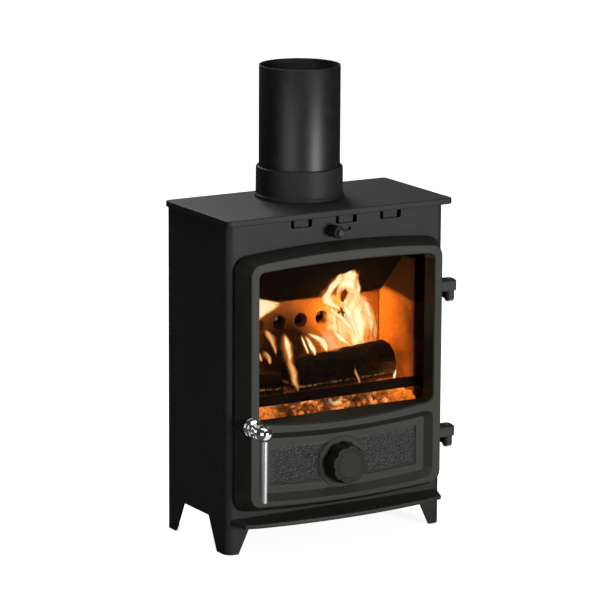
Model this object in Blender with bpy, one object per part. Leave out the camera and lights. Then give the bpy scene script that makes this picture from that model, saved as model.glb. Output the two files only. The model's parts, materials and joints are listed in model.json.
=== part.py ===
"""Slim multi-fuel stove with its flue pipe: folded steel casing on four legs, cast door with
an arched window, chrome handle, screw air wheel, top air slide, grate and ash pan, and with
two charred logs in a bed of embers.

Stove coordinates: x to the right, y to the back, z up, the casing centred on x = y = 0 and
the feet on z = 0. The datum empty shifts them so that the origin is the bottom centre of the
whole stove's box.
"""
import math

import bmesh
import bpy
from mathutils import Vector

# Shared clearances and sheet gauges
fit = 0.0003                # gap between pieces that touch
run_fit = 0.0006            # gap round pieces that move
sheet = 0.004               # casing sheet

# Casing
casing_width = 0.390
casing_depth = 0.190
casing_height = 0.518       # floor to the underside of the top plate
front_corner_r = 0.013
rear_corner_r = 0.006
rear_return = 0.019         # width of the folded strip at each back edge
side_arch_height = 0.052
side_arch_front = 0.058     # casing front to the arch, at its top
side_arch_back = 0.051
side_arch_slant = 0.026
front_arch_gap = 0.005      # lip's underside to the arch
front_foot_top = 0.041
front_foot_bottom = 0.021

# Top plate, collar and pipe
plate_thick = 0.010
plate_side_lap = 0.007
plate_front_lap = 0.015
plate_back_set = 0.003
plate_corner_r = 0.008
plate_edge_r = 0.0022
flue_back = 0.0735          # casing's back to the pipe's axis
pipe_r = 0.0635
pipe_wall = 0.002
pipe_rise = 0.207           # top plate to the pipe's end
collar_height = 0.049
collar_wall = 0.0045
collar_foot_lip = 0.0018
collar_foot_height = 0.005
collar_ledge = 0.0050
flue_hole_r = 0.059
collar_bolt_r = 0.003

# Door outline at its front ring
door_side_gap = 0.023       # casing's side to the ring
door_bottom = 0.0735
door_top_gap = 0.050        # casing's top to the crown of the ring
door_bottom_bow = 2.2
door_top_bow = 1.63
door_corner_r = 0.017
door_proud = 0.034          # ring face to the casing front
door_flare_side = 0.012     # how far the bevel spreads towards the casing
door_flare_top = 0.009
door_flare_bottom = 0.0115
door_rim = 0.0034
door_back_gap = 0.0026
door_edge_r = 0.0030
# Window
window_side_border = 0.015
window_top_border = 0.0163
window_sill = 0.201         # ridge of the transom at the middle
window_sill_bow = 1.05
window_top_bow = 2.4
window_corner_r = 0.009
sill_rise = 0.0105
window_draft = 0.0026
window_chamfer = 0.0016
sill_chamfer = 0.0022
glass_thick = 0.004
gasket_thick = 0.0012
glass_lap = 0.0078
# Lower panel
panel_border = 0.016
panel_bottom_gap = 0.0095   # ring's bottom to the recess
panel_top_gap = 0.0125      # transom's ridge to the recess
panel_bottom_bow = 1.7
panel_top_bow = 1.39
panel_corner_r = 0.014
panel_bevel = 0.0098
panel_depth = 0.010
panel_thick = 0.008
pocket_margin = 0.0115
stipple_inset = 0.0145      # flat panel edge to the sunk stippled fields
stipple_rise = 0.036        # wheel's axis to the top of the fields' inner ends
stipple_drop = 0.0265
stipple_depth = 0.0014
# Air wheel
wheel_x = -0.004
wheel_drop = 0.00375        # recess's middle to the wheel's axis
wheel_r = 0.0295
wheel_back_r = 0.0330
wheel_thick = 0.0205
wheel_lobes = 8
wheel_lobe_depth = 0.0022
wheel_stand = 0.0052        # panel land to the back of the wheel
wheel_pitch = 0.0025
wheel_turns = 1.5
wheel_cap = 0.004
land_r = 0.041
land_rise = 0.0009
stud_r = 0.005
stud_nut_r = 0.0085
stud_nut_thick = 0.006
air_hole_r = 0.0055
air_hole_ring = 0.0225
air_hole_count = 6
washer_r = 0.0112
washer_thick = 0.0026

# Hinges
hinge_out = 0.0025          # casing's side to the hinge axis
hinge_front = 0.013         # casing's front to the hinge axis
lug_out = 0.0090
lug_front = 0.0115
lug_set_back = 0.0006       # door's back plane to the back of the lugs
lug_corner_r = 0.0070
lug_tall = 0.018
lug_top_slope = 0.0030       # slant round the top of a lug
upper_lug_drop = 0.0865     # ring's crown to the underside of the upper lug
lower_lug_rise = 0.073      # ring's bottom to the underside of the lower lug
knuckle_r = 0.0079
knuckle_tall = 0.0155
arm_thick = 0.0078
arm_reach = 0.046
pin_r = 0.004
pin_head_r = 0.0062
pin_head_thick = 0.0022
hinge_screw_r = 0.003
hinge_screw_head_r = 0.005
hinge_screw_back = 0.012    # arm's end to the screw
pin_tip = 0.001

# Door handle
handle_inset = 0.001        # ring's side to the handle axis
handle_rise = 0.0085        # transom's ridge to the handle axis
boss_r = 0.015
boss_long = 0.0125
neck_r = 0.0068
collar_ring_r = 0.0112
ball_r = 0.0122
ball_out = 0.038            # ring face to the centre of the ball
grip_r = 0.0058
grip_end_r = 0.0052
grip_long = 0.101
socket_r = 0.0034
pad_r = 0.013
pad_rise = 0.0006
spindle_r = 0.005
cam_stub_r = 0.004
cam_thick = 0.005
cam_hub_r = 0.0074
cam_reach = 0.0108
cam_nose = 0.0042
cam_nut_r = 0.0065
cam_nut_thick = 0.005
notch_tall = 0.030
notch_gap = 0.0012          # casing edge to the nose of the cam

# Door opening in the casing, and the seals
opening_lap = 0.007
seal_inset = 0.0012
seal_width = 0.0052
clip_half = 0.011
clip_thick = 0.002
clip_x = 0.062
clip_lap = 0.0062
clip_foot = 0.0115
clip_screw_r = 0.0022
clip_screw_head_r = 0.0036
clip_screw_long = 0.0085     # depth in the door

# Top air slots, slide and its knob
slot_wide = 0.038
slot_pitch = 0.080
slot_centre = 0.0156
slot_top_gap = 0.003        # casing's top to the slots
slot_tall = 0.012
slot_corner_r = 0.003
slide_bar_gap = 0.0025      # slots to the bar of the slide
slide_bar_tall = 0.0165
slide_thick = 0.0025
slide_tab_left = 0.0083     # open strips left and right of each tab at rest
slide_tab_right = 0.0045
knob_slot_left = -0.019
knob_slot_right = 0.0236
knob_slot_tall = 0.006
knob_x = -0.0105
knob_rise = 0.010           # bar's bottom edge to the knob's axis
knob_stem_r = 0.0023
knob_r = 0.0098
knob_boss_r = 0.0060
knob_stand = 0.0035
knob_long = 0.0215
knob_boss_long = 0.0045
slide_end = 0.012           # bar past the outermost slots
knob_flange = 0.0018
knob_flange_thick = 0.0022
keeper_pitch = 0.124
keeper_half = 0.007
keeper_drop = 0.0065
keeper_hold = 0.012         # height of its tongue behind the bar
keeper_thick = 0.002

# Ash lip
lip_end_inset = 0.008
lip_front_inset = 0.018
lip_end_reach = 0.0315
lip_bow = 0.0165
lip_drop = 0.0265           # ring's bottom to the lip's underside
lip_front_tall = 0.007
lip_back_tall = 0.010
lip_edge_r = 0.0018
lip_bolt_x = 0.110
lip_bolt_r = 0.003
lip_bolt_long = 0.011        # depth in the lip
bolt_head_r = 0.005
bolt_head_thick = 0.004

# Inside the casing
base_top = 0.070
base_thick = 0.004
back_panel_bottom = 0.054
inlet_pitch = 0.070
inlet_half = 0.020
inlet_tall = 0.012
vent_margin = 0.001
rail_top = 0.180
rail_wide = 0.041
rail_tall = 0.030
rail_front = 0.008          # casing front sheet to the rails
brick_side_thick = 0.0243
brick_front = 0.040         # casing front to the side bricks
brick_rear_set = 0.047      # casing's back to the brick's face
brick_rear_thick = 0.025
brick_rear_gap = 0.001      # brick to the low edge of the throat plate
throat_gap = 0.094          # casing's top to the throat plate
throat_fall = 0.068
throat_run = 0.068
rear_hole_r = 0.0115
rear_hole_pitch = 0.039
rear_hole_drop = 0.034      # brick's top to its row of holes
rear_hole_count = 6
channel_half = 0.125
channel_tall = 0.044
channel_sheet = 0.002
baffle_thick = 0.006
deflector_back = 0.031      # casing's front sheet to the deflector
deflector_side_gap = 0.026
deflector_sheet = 0.002
deflector_drop = 0.064
deflector_flange = 0.022
deflector_kick = 0.012
grate_thick = 0.008
grate_front = 0.012
grate_bar_wide = 0.015      # between the ends of the slots
grate_slot_wide = 0.009
grate_slot_rows = 7
grate_columns = 3
riddle_thick = 0.0062
riddle_side_gap = 0.0063    # rail to the riddle plate
riddle_edge = 0.0054        # plate's side to the slots
riddle_end = 0.005          # plate's end to the slots
riddle_travel = 0.008
riddle_tab_half = 0.012
riddle_tab_reach = 0.010
hook_lip = 0.0028
hook_sheet = 0.003
hook_foot = 0.012
guard_bar_back = 0.015      # casing's front sheet to the bar
guard_bar_thick = 0.005
guard_bar_tall = 0.016
guard_bar_rise = 0.0235     # transom's ridge to the bar's underside
guard_bar_gap = 0.023       # casing's wall to the bar's end
guard_bracket_reach = 0.030
guard_bracket_wall = 0.0022
guard_bracket_tall = 0.011
pan_side_gap = 0.041        # casing's wall to the pan
pan_front_gap = 0.011
pan_back_gap = 0.035
pan_tall = 0.066
pan_wall = 0.002
pan_handle_half = 0.035
pan_handle_reach = 0.013
pan_handle_z = 0.116
pan_handle_bar = 0.005

# Fire laid on the grate
ember_side_gap = 0.005      # side brick to the embers
ember_front_gap = 0.014     # casing's front sheet to the embers
ember_back_gap = 0.0045     # rear brick to the embers
ember_tall = 0.0280
ember_fall = 0.004          # how much lower the bed is at the back
ember_mound = 0.011         # heap under the right end of the front log
ember_mound_long = 0.050
ember_mound_wide = 0.030
ember_brow = 0.018          # length of the slope at its front
ember_swell = 0.0022
ember_lump = 0.024
ember_columns = 36
ember_rows = 13
log_sides = 20
log_stations = 12
front_log_r = 0.031
front_log_long = 0.196
front_log_side_gap = 0.0084     # side brick to the log's right end
front_log_left_y = -0.015
front_log_right_y = -0.005
front_log_left_rise = 0.0537    # grate to the log's axis
front_log_right_rise = 0.0667
left_log_r = 0.0242
left_log_long = 0.102
left_log_side_gap = 0.0084
left_log_left_y = 0.002
left_log_right_y = -0.018
left_log_left_rise = 0.0477
left_log_right_rise = 0.0437

# Places that follow from the sizes above
front_y = -casing_depth / 2
back_y = casing_depth / 2
side_x = casing_width / 2
inner_x = side_x - sheet
inner_front = front_y + sheet
plate_top = casing_height + plate_thick
pipe_top = plate_top + pipe_rise
flue_y = back_y - flue_back
door_half = side_x - door_side_gap
door_top = casing_height - door_top_gap
panel_bottom = door_bottom + panel_bottom_gap
panel_top = window_sill - panel_top_gap
wheel_z = (panel_top + panel_bottom) / 2 - wheel_drop
stipple_top = wheel_z + stipple_rise
stipple_bottom = wheel_z - stipple_drop
hinge_x = side_x + hinge_out
hinge_y = front_y - hinge_front
upper_lug_z = door_top - upper_lug_drop
lower_lug_z = door_bottom + lower_lug_rise
handle_x = -(door_half - handle_inset)
handle_z = window_sill + handle_rise
slot_top = casing_height - slot_top_gap
slot_bottom = slot_top - slot_tall
slide_bar_top = slot_bottom - slide_bar_gap
slide_bar_bottom = slide_bar_top - slide_bar_tall
knob_z = slide_bar_bottom + knob_rise
lip_bottom = door_bottom - lip_drop
front_arch_height = lip_bottom - front_arch_gap
brick_rear_face = back_y - brick_rear_set
throat_high = casing_height - throat_gap
throat_low = throat_high - throat_fall
throat_front = brick_rear_face - throat_run
brick_rear_top = throat_low - brick_rear_gap
rear_hole_z = brick_rear_top - rear_hole_drop
deflector_y = inner_front + deflector_back
deflector_half = inner_x - deflector_side_gap
guard_bar_y = inner_front + guard_bar_back
guard_bar_half = inner_x - guard_bar_gap
guard_bar_bottom = window_sill + guard_bar_rise
pan_half = inner_x - pan_side_gap
pan_front = inner_front + pan_front_gap
pan_back = back_y - pan_back_gap
riddle_half = inner_x - fit - rail_wide - riddle_side_gap
grate_slot_long = (2 * (riddle_half - riddle_edge) - (grate_columns - 1) * grate_bar_wide) / grate_columns
grate_column_pitch = grate_slot_long + grate_bar_wide
ring_y = front_y - door_proud
door_back = front_y - door_back_gap
bevel_back = door_back - door_rim
seat_y = door_back - glass_thick - gasket_thick - 3 * fit   # where the gasket of the glass lies
glass_inset = seat_y - ring_y
panel_y = ring_y + panel_depth
pocket_y = panel_y + panel_thick
land_y = panel_y - land_rise
wheel_back = land_y - wheel_stand
wheel_front = wheel_back - wheel_thick
collar_out = pipe_r + fit + collar_wall
lug_x = hinge_x + lug_out
lug_back_y = door_back - lug_set_back
ball_y = ring_y - ball_out
window_half = door_half - window_side_border
window_top = door_top - window_top_border
panel_half = door_half - panel_border
collar_bolt_ring = (flue_hole_r + pipe_r + fit + collar_wall + collar_foot_lip) / 2
glass_half = window_half - window_draft + glass_lap
sill_inner = window_sill + sill_rise
glass_bottom = sill_inner - glass_lap
glass_top = window_top - window_draft + glass_lap


def sag(x, bow):
    """Drop of a circle of radius bow at distance x from its highest point; 0 where straight."""
    if bow == 0:
        return 0.0
    r = abs(bow)
    drop = r - math.sqrt(r * r - x * x)
    return drop if bow > 0 else -drop


def outline(half, bottom, bottom_bow, top, top_bow, corner, y, inset=0.0, arc=10, turn=5):
    """Closed door-like outline in the plane y: bowed bottom, arched top, rounded corners.

    A positive bottom bow lifts the ends, a positive top bow drops them.
    """
    h = half - inset
    c = max(corner - inset, 0.0008)
    lo = bottom + inset
    hi = top - inset
    pts = []
    for i in range(turn + 1):
        a = -math.pi / 2 + math.pi / 2 * i / turn
        x = h - c + c * math.cos(a)
        pts.append((x, lo + sag(x, bottom_bow) + c + c * math.sin(a)))
    for i in range(turn + 1):
        a = math.pi / 2 * i / turn
        x = h - c + c * math.cos(a)
        pts.append((x, hi - sag(x, top_bow) - c + c * math.sin(a)))
    for i in range(1, arc):
        x = (h - c) * (1 - 2 * i / arc)
        pts.append((x, hi - sag(x, top_bow)))
    for i in range(turn + 1):
        a = math.pi / 2 + math.pi / 2 * i / turn
        x = -h + c + c * math.cos(a)
        pts.append((x, hi - sag(x, top_bow) - c + c * math.sin(a)))
    for i in range(turn + 1):
        a = math.pi + math.pi / 2 * i / turn
        x = -h + c + c * math.cos(a)
        pts.append((x, lo + sag(x, bottom_bow) + c + c * math.sin(a)))
    for i in range(1, arc):
        x = (h - c) * (-1 + 2 * i / arc)
        pts.append((x, lo + sag(x, bottom_bow)))
    return [Vector((x, y, z)) for x, z in pts]


def circle(cx, cy, r, n, start=0.0, sweep=2 * math.pi):
    """Points on an arc or a full circle in any plane, as (u, v) pairs."""
    full = abs(sweep - 2 * math.pi) < 1e-9
    steps = n if full else n + 1
    return [(cx + r * math.cos(start + sweep * i / n), cy + r * math.sin(start + sweep * i / n))
            for i in range(steps)]


def place(u, v, w, axis):
    """A point from in-plane u, v and the height w along the axis."""
    if axis == "X":
        return Vector((w, u, v))
    if axis == "Y":
        return Vector((u, w, v))
    return Vector((u, v, w))


def loft(loops, ends=True):
    """Skin through loops of equal length; closed with end faces, or back onto the first loop."""
    bm = bmesh.new()
    rows = [[bm.verts.new(p) for p in loop] for loop in loops]
    pairs = list(zip(rows, rows[1:])) + ([] if ends else [(rows[-1], rows[0])])
    for a, b in pairs:
        for i in range(len(a)):
            j = (i + 1) % len(a)
            bm.faces.new((a[i], a[j], b[j], b[i]))
    if ends:
        bm.faces.new(rows[0])
        bm.faces.new(list(reversed(rows[-1])))
    bmesh.ops.recalc_face_normals(bm, faces=bm.faces[:])
    return bm


def prism(points, axis, a, b):
    """Straight bar with the section points, from a to b along the axis."""
    return loft([[place(u, v, w, axis) for u, v in points] for w in (a, b)])


def box(x0, x1, y0, y1, z0, z1):
    return prism([(x0, y0), (x1, y0), (x1, y1), (x0, y1)], "Z", z0, z1)


def turned(profile, cu, cv, axis, n=24, start=0.0):
    """Solid of revolution about an axis-parallel line through (cu, cv).

    profile holds (radius, height) pairs: from pole to pole for a solid, or a closed section
    clear of the axis for a ring.
    """
    bm = bmesh.new()
    rows = []
    for r, w in profile:
        if r < 1e-6:
            rows.append([bm.verts.new(place(cu, cv, w, axis))])
        else:
            rows.append([bm.verts.new(place(u, v, w, axis)) for u, v in circle(cu, cv, r, n, start)])
    solid = len(rows[0]) == 1 and len(rows[-1]) == 1
    pairs = list(zip(rows, rows[1:])) + ([] if solid else [(rows[-1], rows[0])])
    for a, b in pairs:
        for i in range(n):
            j = (i + 1) % n
            corners = [a[i % len(a)], a[j % len(a)], b[j % len(b)], b[i % len(b)]]
            bm.faces.new(list(dict.fromkeys(corners)))
    bmesh.ops.recalc_face_normals(bm, faces=bm.faces[:])
    return bm


def rod(r, a, b, cu, cv, axis, n=24, edge=0.0, start=0.0):
    """Solid round bar with optional chamfered ends."""
    step = edge if b > a else -edge
    if edge:
        profile = [(0, a), (r - edge, a), (r, a + step), (r, b - step), (r - edge, b), (0, b)]
    else:
        profile = [(0, a), (r, a), (r, b), (0, b)]
    return turned(profile, cu, cv, axis, n, start)


def hex_nut(bore, r, a, b, cu, cv, axis):
    """Six-sided nut with a round bore, r to its corners."""
    flat = r * math.cos(math.pi / 6)
    hexagon = []
    for i in range(24):
        turn = 2 * math.pi * i / 24
        off = (turn + math.pi / 6) % (math.pi / 3) - math.pi / 6
        s = flat / math.cos(off - math.pi / 6 if off > 0 else off + math.pi / 6)
        hexagon.append((cu + s * math.cos(turn), cv + s * math.sin(turn)))
    hole = circle(cu, cv, bore, 24)
    rings = [(hole, a), (hexagon, a), (hexagon, b), (hole, b)]
    return loft([[place(u, v, w, axis) for u, v in pts] for pts, w in rings], ends=False)


def soften(bm, width, segments=1, angle=50):
    """Bevel the edges that turn more than the angle."""
    bm.normal_update()
    edges = [e for e in bm.edges if e.calc_face_angle(0) > math.radians(angle)]
    bmesh.ops.bevel(bm, geom=edges, offset=width, offset_type="OFFSET", segments=segments,
                    profile=0.5, affect="EDGES", clamp_overlap=True, material=-1)
    return bm


def merge(bm, other):
    """Put other into bm as a separate closed shape."""
    copy = {v: bm.verts.new(v.co) for v in other.verts}
    for f in other.faces:
        bm.faces.new([copy[v] for v in f.verts])
    other.free()
    return bm


def material(name, colour, roughness, metallic=0.0, alpha=1.0):
    mat = bpy.data.materials.new(name)
    mat.use_nodes = True
    shader = mat.node_tree.nodes["Principled BSDF"]
    shader.inputs["Base Color"].default_value = (*colour, 1.0)
    shader.inputs["Roughness"].default_value = roughness
    shader.inputs["Metallic"].default_value = metallic
    shader.inputs["Alpha"].default_value = alpha
    mat.diffuse_color = (*colour, alpha)
    return mat


for old in list(bpy.data.objects):
    bpy.data.objects.remove(old, do_unlink=True)

collection = bpy.context.scene.collection
where = {}


def empty(name, at, parent=None):
    """Empty at a place given in stove coordinates, so that what hangs on it turns about it."""
    ob = bpy.data.objects.new(name, None)
    ob.empty_display_size = 0.02
    collection.objects.link(ob)
    where[name] = Vector(at)
    if parent:
        ob.parent = parent
        ob.location = Vector(at) - where[parent.name]
    return ob


datum = empty("stove_datum", (0, 0, 0))
datum.location = (-(lug_x - (side_x + plate_side_lap)) / 2, -(back_y + ball_y - ball_r) / 2, 0)
door_axis = empty("door_axis", (hinge_x, hinge_y, 0), datum)
handle_axis = empty("handle_axis", (handle_x, ring_y, handle_z), door_axis)
wheel_travel = empty("wheel_travel", (wheel_x, land_y, wheel_z), door_axis)
wheel_axis = empty("wheel_axis", (wheel_x, land_y, wheel_z), wheel_travel)
air_slide = empty("air_slide", (knob_x, inner_front, knob_z), datum)
riddle_slide = empty("riddle_slide", (0, 0, rail_top), datum)


def add(name, bm, mat, parent=datum, smooth=35):
    """Object made from a mesh in stove coordinates, with its origin on its parent empty."""
    mesh = bpy.data.meshes.new(name)
    bmesh.ops.translate(bm, vec=-where[parent.name], verts=bm.verts[:])
    bm.to_mesh(mesh)
    bm.free()
    if mat:
        mesh.materials.append(mat)
    ob = bpy.data.objects.new(name, mesh)
    collection.objects.link(ob)
    ob.parent = parent
    if smooth:
        mesh.shade_smooth()
        mesh.set_sharp_from_angle(angle=math.radians(smooth))
    return ob


def tool(name, bm, parent=datum):
    """Shape that only cuts or joins, drawn as wire."""
    ob = add("tool_" + name, bm, None, parent, smooth=0)
    ob.hide_render = True
    ob.display_type = "WIRE"
    return ob


def carve(target, shape, operation="DIFFERENCE"):
    mod = target.modifiers.new(shape.name, "BOOLEAN")
    mod.operation = operation
    mod.solver = "EXACT"
    mod.object = shape


black = material("stove_black", (0.045, 0.046, 0.044), 0.62)
cast = material("cast_black", (0.062, 0.063, 0.056), 0.58)
enamel = material("flue_enamel", (0.022, 0.022, 0.022), 0.34)
dark_iron = material("dark_iron", (0.035, 0.033, 0.031), 0.72, 0.2)
chrome = material("chrome", (0.80, 0.80, 0.81), 0.07, 1.0)
satin = material("satin_steel", (0.62, 0.62, 0.63), 0.28, 1.0)
zinc = material("zinc_screw", (0.42, 0.42, 0.41), 0.40, 0.9)
glass = material("stove_glass", (0.82, 0.80, 0.76), 0.04, 0.0, 0.25)
rope = material("seal_rope", (0.028, 0.028, 0.027), 0.95)
brick = material("fire_brick", (0.62, 0.49, 0.33), 0.92)
pan_steel = material("pan_steel", (0.10, 0.10, 0.10), 0.55, 0.6)
charred_wood = material("charred_wood", (0.022, 0.016, 0.012), 0.88)
embers = material("embers", (0.34, 0.16, 0.08), 0.95)

# Casing: one sheet folded round front, sides and narrow back strips, with legs cut into it
d = side_x - front_corner_r
f = front_y + front_corner_r
rx = side_x - rear_corner_r
ry = back_y - rear_corner_r


def fold(off):
    """Plan path of the folded sheet, offset inwards."""
    path = [(-side_x + rear_return, back_y - off)]
    path += circle(-rx, ry, rear_corner_r - off, 3, math.pi / 2, math.pi / 2)
    path += circle(-d, f, front_corner_r - off, 5, math.pi, math.pi / 2)
    path += circle(d, f, front_corner_r - off, 5, 1.5 * math.pi, math.pi / 2)
    path += circle(rx, ry, rear_corner_r - off, 3, 0, math.pi / 2)
    path += [(side_x - rear_return, back_y - off)]
    return path


casing = add("outer_casing", prism(fold(0) + fold(sheet)[::-1], "Z", 0, casing_height - fit), black)
arch_bottom = 0.001
grow = 1 + arch_bottom / side_arch_height
carve(casing, tool("side_arch", prism(
    [(front_y + side_arch_front, side_arch_height), (back_y - side_arch_back, side_arch_height),
     (back_y - side_arch_back + side_arch_slant * grow, -arch_bottom),
     (front_y + side_arch_front - side_arch_slant * grow, -arch_bottom)],
    "X", -side_x - 0.01, side_x + 0.01)))
foot_slope = (front_foot_top - front_foot_bottom) / front_arch_height
carve(casing, tool("front_arch", prism(
    [(-side_x + front_foot_top, front_arch_height), (side_x - front_foot_top, front_arch_height),
     (side_x - front_foot_bottom + foot_slope * arch_bottom, -arch_bottom),
     (-side_x + front_foot_bottom - foot_slope * arch_bottom, -arch_bottom)],
    "Y", front_y - 0.01, inner_front + 0.001)))


def door_base(y, inset):
    """Outer outline of the door where it meets the casing."""
    return outline(door_half + door_flare_side, door_bottom - door_flare_bottom, door_bottom_bow,
                   door_top + door_flare_top, door_top_bow, door_corner_r + 0.004, y, inset)


opening = tool("door_opening", loft([door_base(front_y - 0.01, opening_lap),
                                     door_base(inner_front + 0.005, opening_lap)]))
carve(casing, opening)
notch_x = handle_x - cam_reach - notch_gap
carve(casing, tool("cam_notch", box(notch_x, handle_x + spindle_r, front_y - 0.005,
                                    inner_front + 0.004, handle_z - notch_tall / 2,
                                    handle_z + notch_tall / 2)))


def slot_outline(x0, x1, z0, z1, r):
    """Slot with rounded lower corners."""
    pts = [(x1, z1), (x0, z1)]
    pts += circle(x0 + r, z0 + r, r, 3, math.pi, math.pi / 2)
    pts += circle(x1 - r, z0 + r, r, 3, 1.5 * math.pi, math.pi / 2)
    return pts


slots = bmesh.new()
for i in (-1, 0, 1):
    left = slot_centre + i * slot_pitch - slot_wide / 2
    merge(slots, prism(slot_outline(left, left + slot_wide, slot_bottom, slot_top, slot_corner_r),
                       "Y", front_y - 0.01, inner_front + 0.001))
hr = knob_slot_tall / 2
stadium = circle(knob_slot_right - hr, knob_z, hr, 6, -math.pi / 2, math.pi)
stadium += circle(knob_slot_left + hr, knob_z, hr, 6, math.pi / 2, math.pi)
merge(slots, prism(stadium, "Y", front_y - 0.01, inner_front + 0.001))
carve(casing, tool("air_slots", slots))

hinge_screw_y = hinge_y + arm_reach - hinge_screw_back
casing_holes = bmesh.new()
for z in (upper_lug_z, lower_lug_z):
    merge(casing_holes, rod(hinge_screw_r + fit, inner_x - 0.002, side_x + 0.002,
                            hinge_screw_y, z - fit - knuckle_tall / 2, "X", 12))
for x in (-lip_bolt_x, lip_bolt_x):
    merge(casing_holes, rod(lip_bolt_r + fit, front_y - 0.002, inner_front + 0.002,
                            x, lip_bottom + lip_back_tall / 2, "Y", 12))
carve(casing, tool("casing_holes", casing_holes))

# Back panel behind the folded strips, with a row of air inlets for the rear channel
panel_x = side_x - sheet - 0.0024
back_panel = add("back_panel", box(-panel_x, panel_x, back_y - sheet - fit - sheet, back_y - sheet - fit,
                                   back_panel_bottom, casing_height - fit), black)
inlets = bmesh.new()
for i in (-1, 0, 1):
    merge(inlets, box(i * inlet_pitch - inlet_half, i * inlet_pitch + inlet_half, back_y - 0.02, back_y,
                      rear_hole_z - inlet_tall / 2, rear_hole_z + inlet_tall / 2))
carve(back_panel, tool("air_inlets", inlets))
panel_front_y = back_y - 2 * sheet - fit

# Base plate that carries the ash pan
br = front_corner_r - sheet + fit
bx = inner_x - fit
by = inner_front + fit
base_pts = circle(-bx + br, by + br, br, 4, math.pi, math.pi / 2)
base_pts += circle(bx - br, by + br, br, 4, 1.5 * math.pi, math.pi / 2)
base_pts += [(bx, panel_front_y - fit), (-bx, panel_front_y - fit)]
add("base_plate", prism(base_pts, "Z", base_top - base_thick, base_top), dark_iron)

# Top plate with rounded corners and softened edges
px = side_x + plate_side_lap
pf = front_y - plate_front_lap
pb = back_y - plate_back_set


def plate_loop(inset, z):
    r = plate_corner_r
    pts = circle(-px + r, pf + r, r - inset, 4, math.pi, math.pi / 2)
    pts += circle(px - r, pf + r, r - inset, 4, 1.5 * math.pi, math.pi / 2)
    pts += circle(px - r, pb - r, r - inset, 2, 0, math.pi / 2)
    pts += circle(-px + r, pb - r, r - inset, 2, math.pi / 2, math.pi / 2)
    return [Vector((x, y, z)) for x, y in pts]


e = plate_edge_r
top_plate = add("top_plate", loft([plate_loop(e * 0.5, casing_height), plate_loop(0, casing_height + e * 0.5),
                                   plate_loop(0, plate_top - e), plate_loop(e * 0.3, plate_top - e * 0.3),
                                   plate_loop(e, plate_top)]), black)
plate_holes = rod(flue_hole_r, casing_height - 0.005, plate_top + 0.005, 0, flue_y, "Z", 36)
for x in (-collar_bolt_ring, collar_bolt_ring):
    merge(plate_holes, rod(collar_bolt_r + fit, casing_height - 0.005, plate_top + 0.005,
                           x, flue_y, "Z", 12))
carve(top_plate, tool("plate_holes", plate_holes))

# Flue collar with a ledge for the pipe, the pipe and the two bolts from below
z0 = plate_top + fit
zc = plate_top + collar_height
bore = pipe_r + fit
ledge_z = z0 + collar_ledge
foot_r = collar_out + collar_foot_lip
collar = add("flue_collar", turned(
    [(flue_hole_r, z0), (foot_r, z0), (foot_r, z0 + collar_foot_height),
     (collar_out, z0 + collar_foot_height + collar_foot_lip * 0.8),
     (collar_out - 0.0003, zc - 0.003), (collar_out - 0.0011, zc - 0.0008),
     (collar_out - 0.0026, zc), (bore + 0.0006, zc), (bore, zc - 0.0008),
     (bore, ledge_z), (flue_hole_r, ledge_z)], 0, flue_y, "Z", 48), black)
collar_bores = bmesh.new()
for x in (-collar_bolt_ring, collar_bolt_ring):
    merge(collar_bores, rod(collar_bolt_r + fit, z0 - 0.002, ledge_z - 0.0010, x, flue_y, "Z", 12))
carve(collar, tool("collar_bores", collar_bores))
add("flue_pipe", turned([(pipe_r - pipe_wall, ledge_z + fit), (pipe_r, ledge_z + fit),
                         (pipe_r, pipe_top), (pipe_r - pipe_wall, pipe_top)], 0, flue_y, "Z", 48), enamel)
for side, x in (("left", -collar_bolt_ring), ("right", collar_bolt_ring)):
    add("collar_bolt_" + side, turned(
        [(0, casing_height - fit - bolt_head_thick), (bolt_head_r, casing_height - fit - bolt_head_thick),
         (bolt_head_r, casing_height - fit), (collar_bolt_r, casing_height - fit),
         (collar_bolt_r, ledge_z - 0.0014), (0, ledge_z - 0.0014)], x, flue_y, "Z", 12), zinc)

# Ash lip: bowed cast shelf bolted to the casing front
lx = side_x - lip_end_inset
lf = side_x - lip_front_inset


def lip_loop(z_back, z_front, inset):
    """Plan outline of the lip, from the back right corner round the bowed front."""
    y0 = front_y - fit
    pts = [Vector((lx - inset, y0, z_back)), Vector((-lx + inset, y0, z_back))]
    for i in range(17):
        x = (lf - inset) * (-1 + i / 8)
        y = front_y - lip_end_reach - lip_bow * (1 - (x / lf) ** 2) + inset
        if i in (0, 16):
            y += 0.003
            x *= 1.006
        pts.append(Vector((x, y, z_front)))
    return pts


zl = lip_bottom
zf = lip_bottom + lip_front_tall
zb = lip_bottom + lip_back_tall
e = lip_edge_r
ash_lip = add("ash_lip", loft([lip_loop(zl, zl, e * 0.6), lip_loop(zl + e * 0.6, zl + e * 0.6, 0),
                               lip_loop(zb - e, zf - e, 0), lip_loop(zb - e * 0.3, zf - e * 0.3, e * 0.3),
                               lip_loop(zb, zf, e)]), cast)
lip_bores = bmesh.new()
bolt_z = lip_bottom + lip_back_tall / 2
for x in (-lip_bolt_x, lip_bolt_x):
    merge(lip_bores, rod(lip_bolt_r + fit, front_y - lip_bolt_long - 0.001, front_y + 0.001,
                         x, bolt_z, "Y", 12))
carve(ash_lip, tool("lip_bores", lip_bores))
for side, x in (("left", -lip_bolt_x), ("right", lip_bolt_x)):
    add("lip_bolt_" + side, turned(
        [(0, front_y - lip_bolt_long), (lip_bolt_r, front_y - lip_bolt_long), (lip_bolt_r, inner_front + fit),
         (bolt_head_r, inner_front + fit), (bolt_head_r, inner_front + fit + bolt_head_thick),
         (0, inner_front + fit + bolt_head_thick)], x, bolt_z, "Y", 12), zinc)

# Door casting: flared block with a window, a bevelled lower panel and a hollow back


def ring(y, inset):
    return outline(door_half, door_bottom, door_bottom_bow, door_top, door_top_bow,
                   door_corner_r, y, inset)


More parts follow.
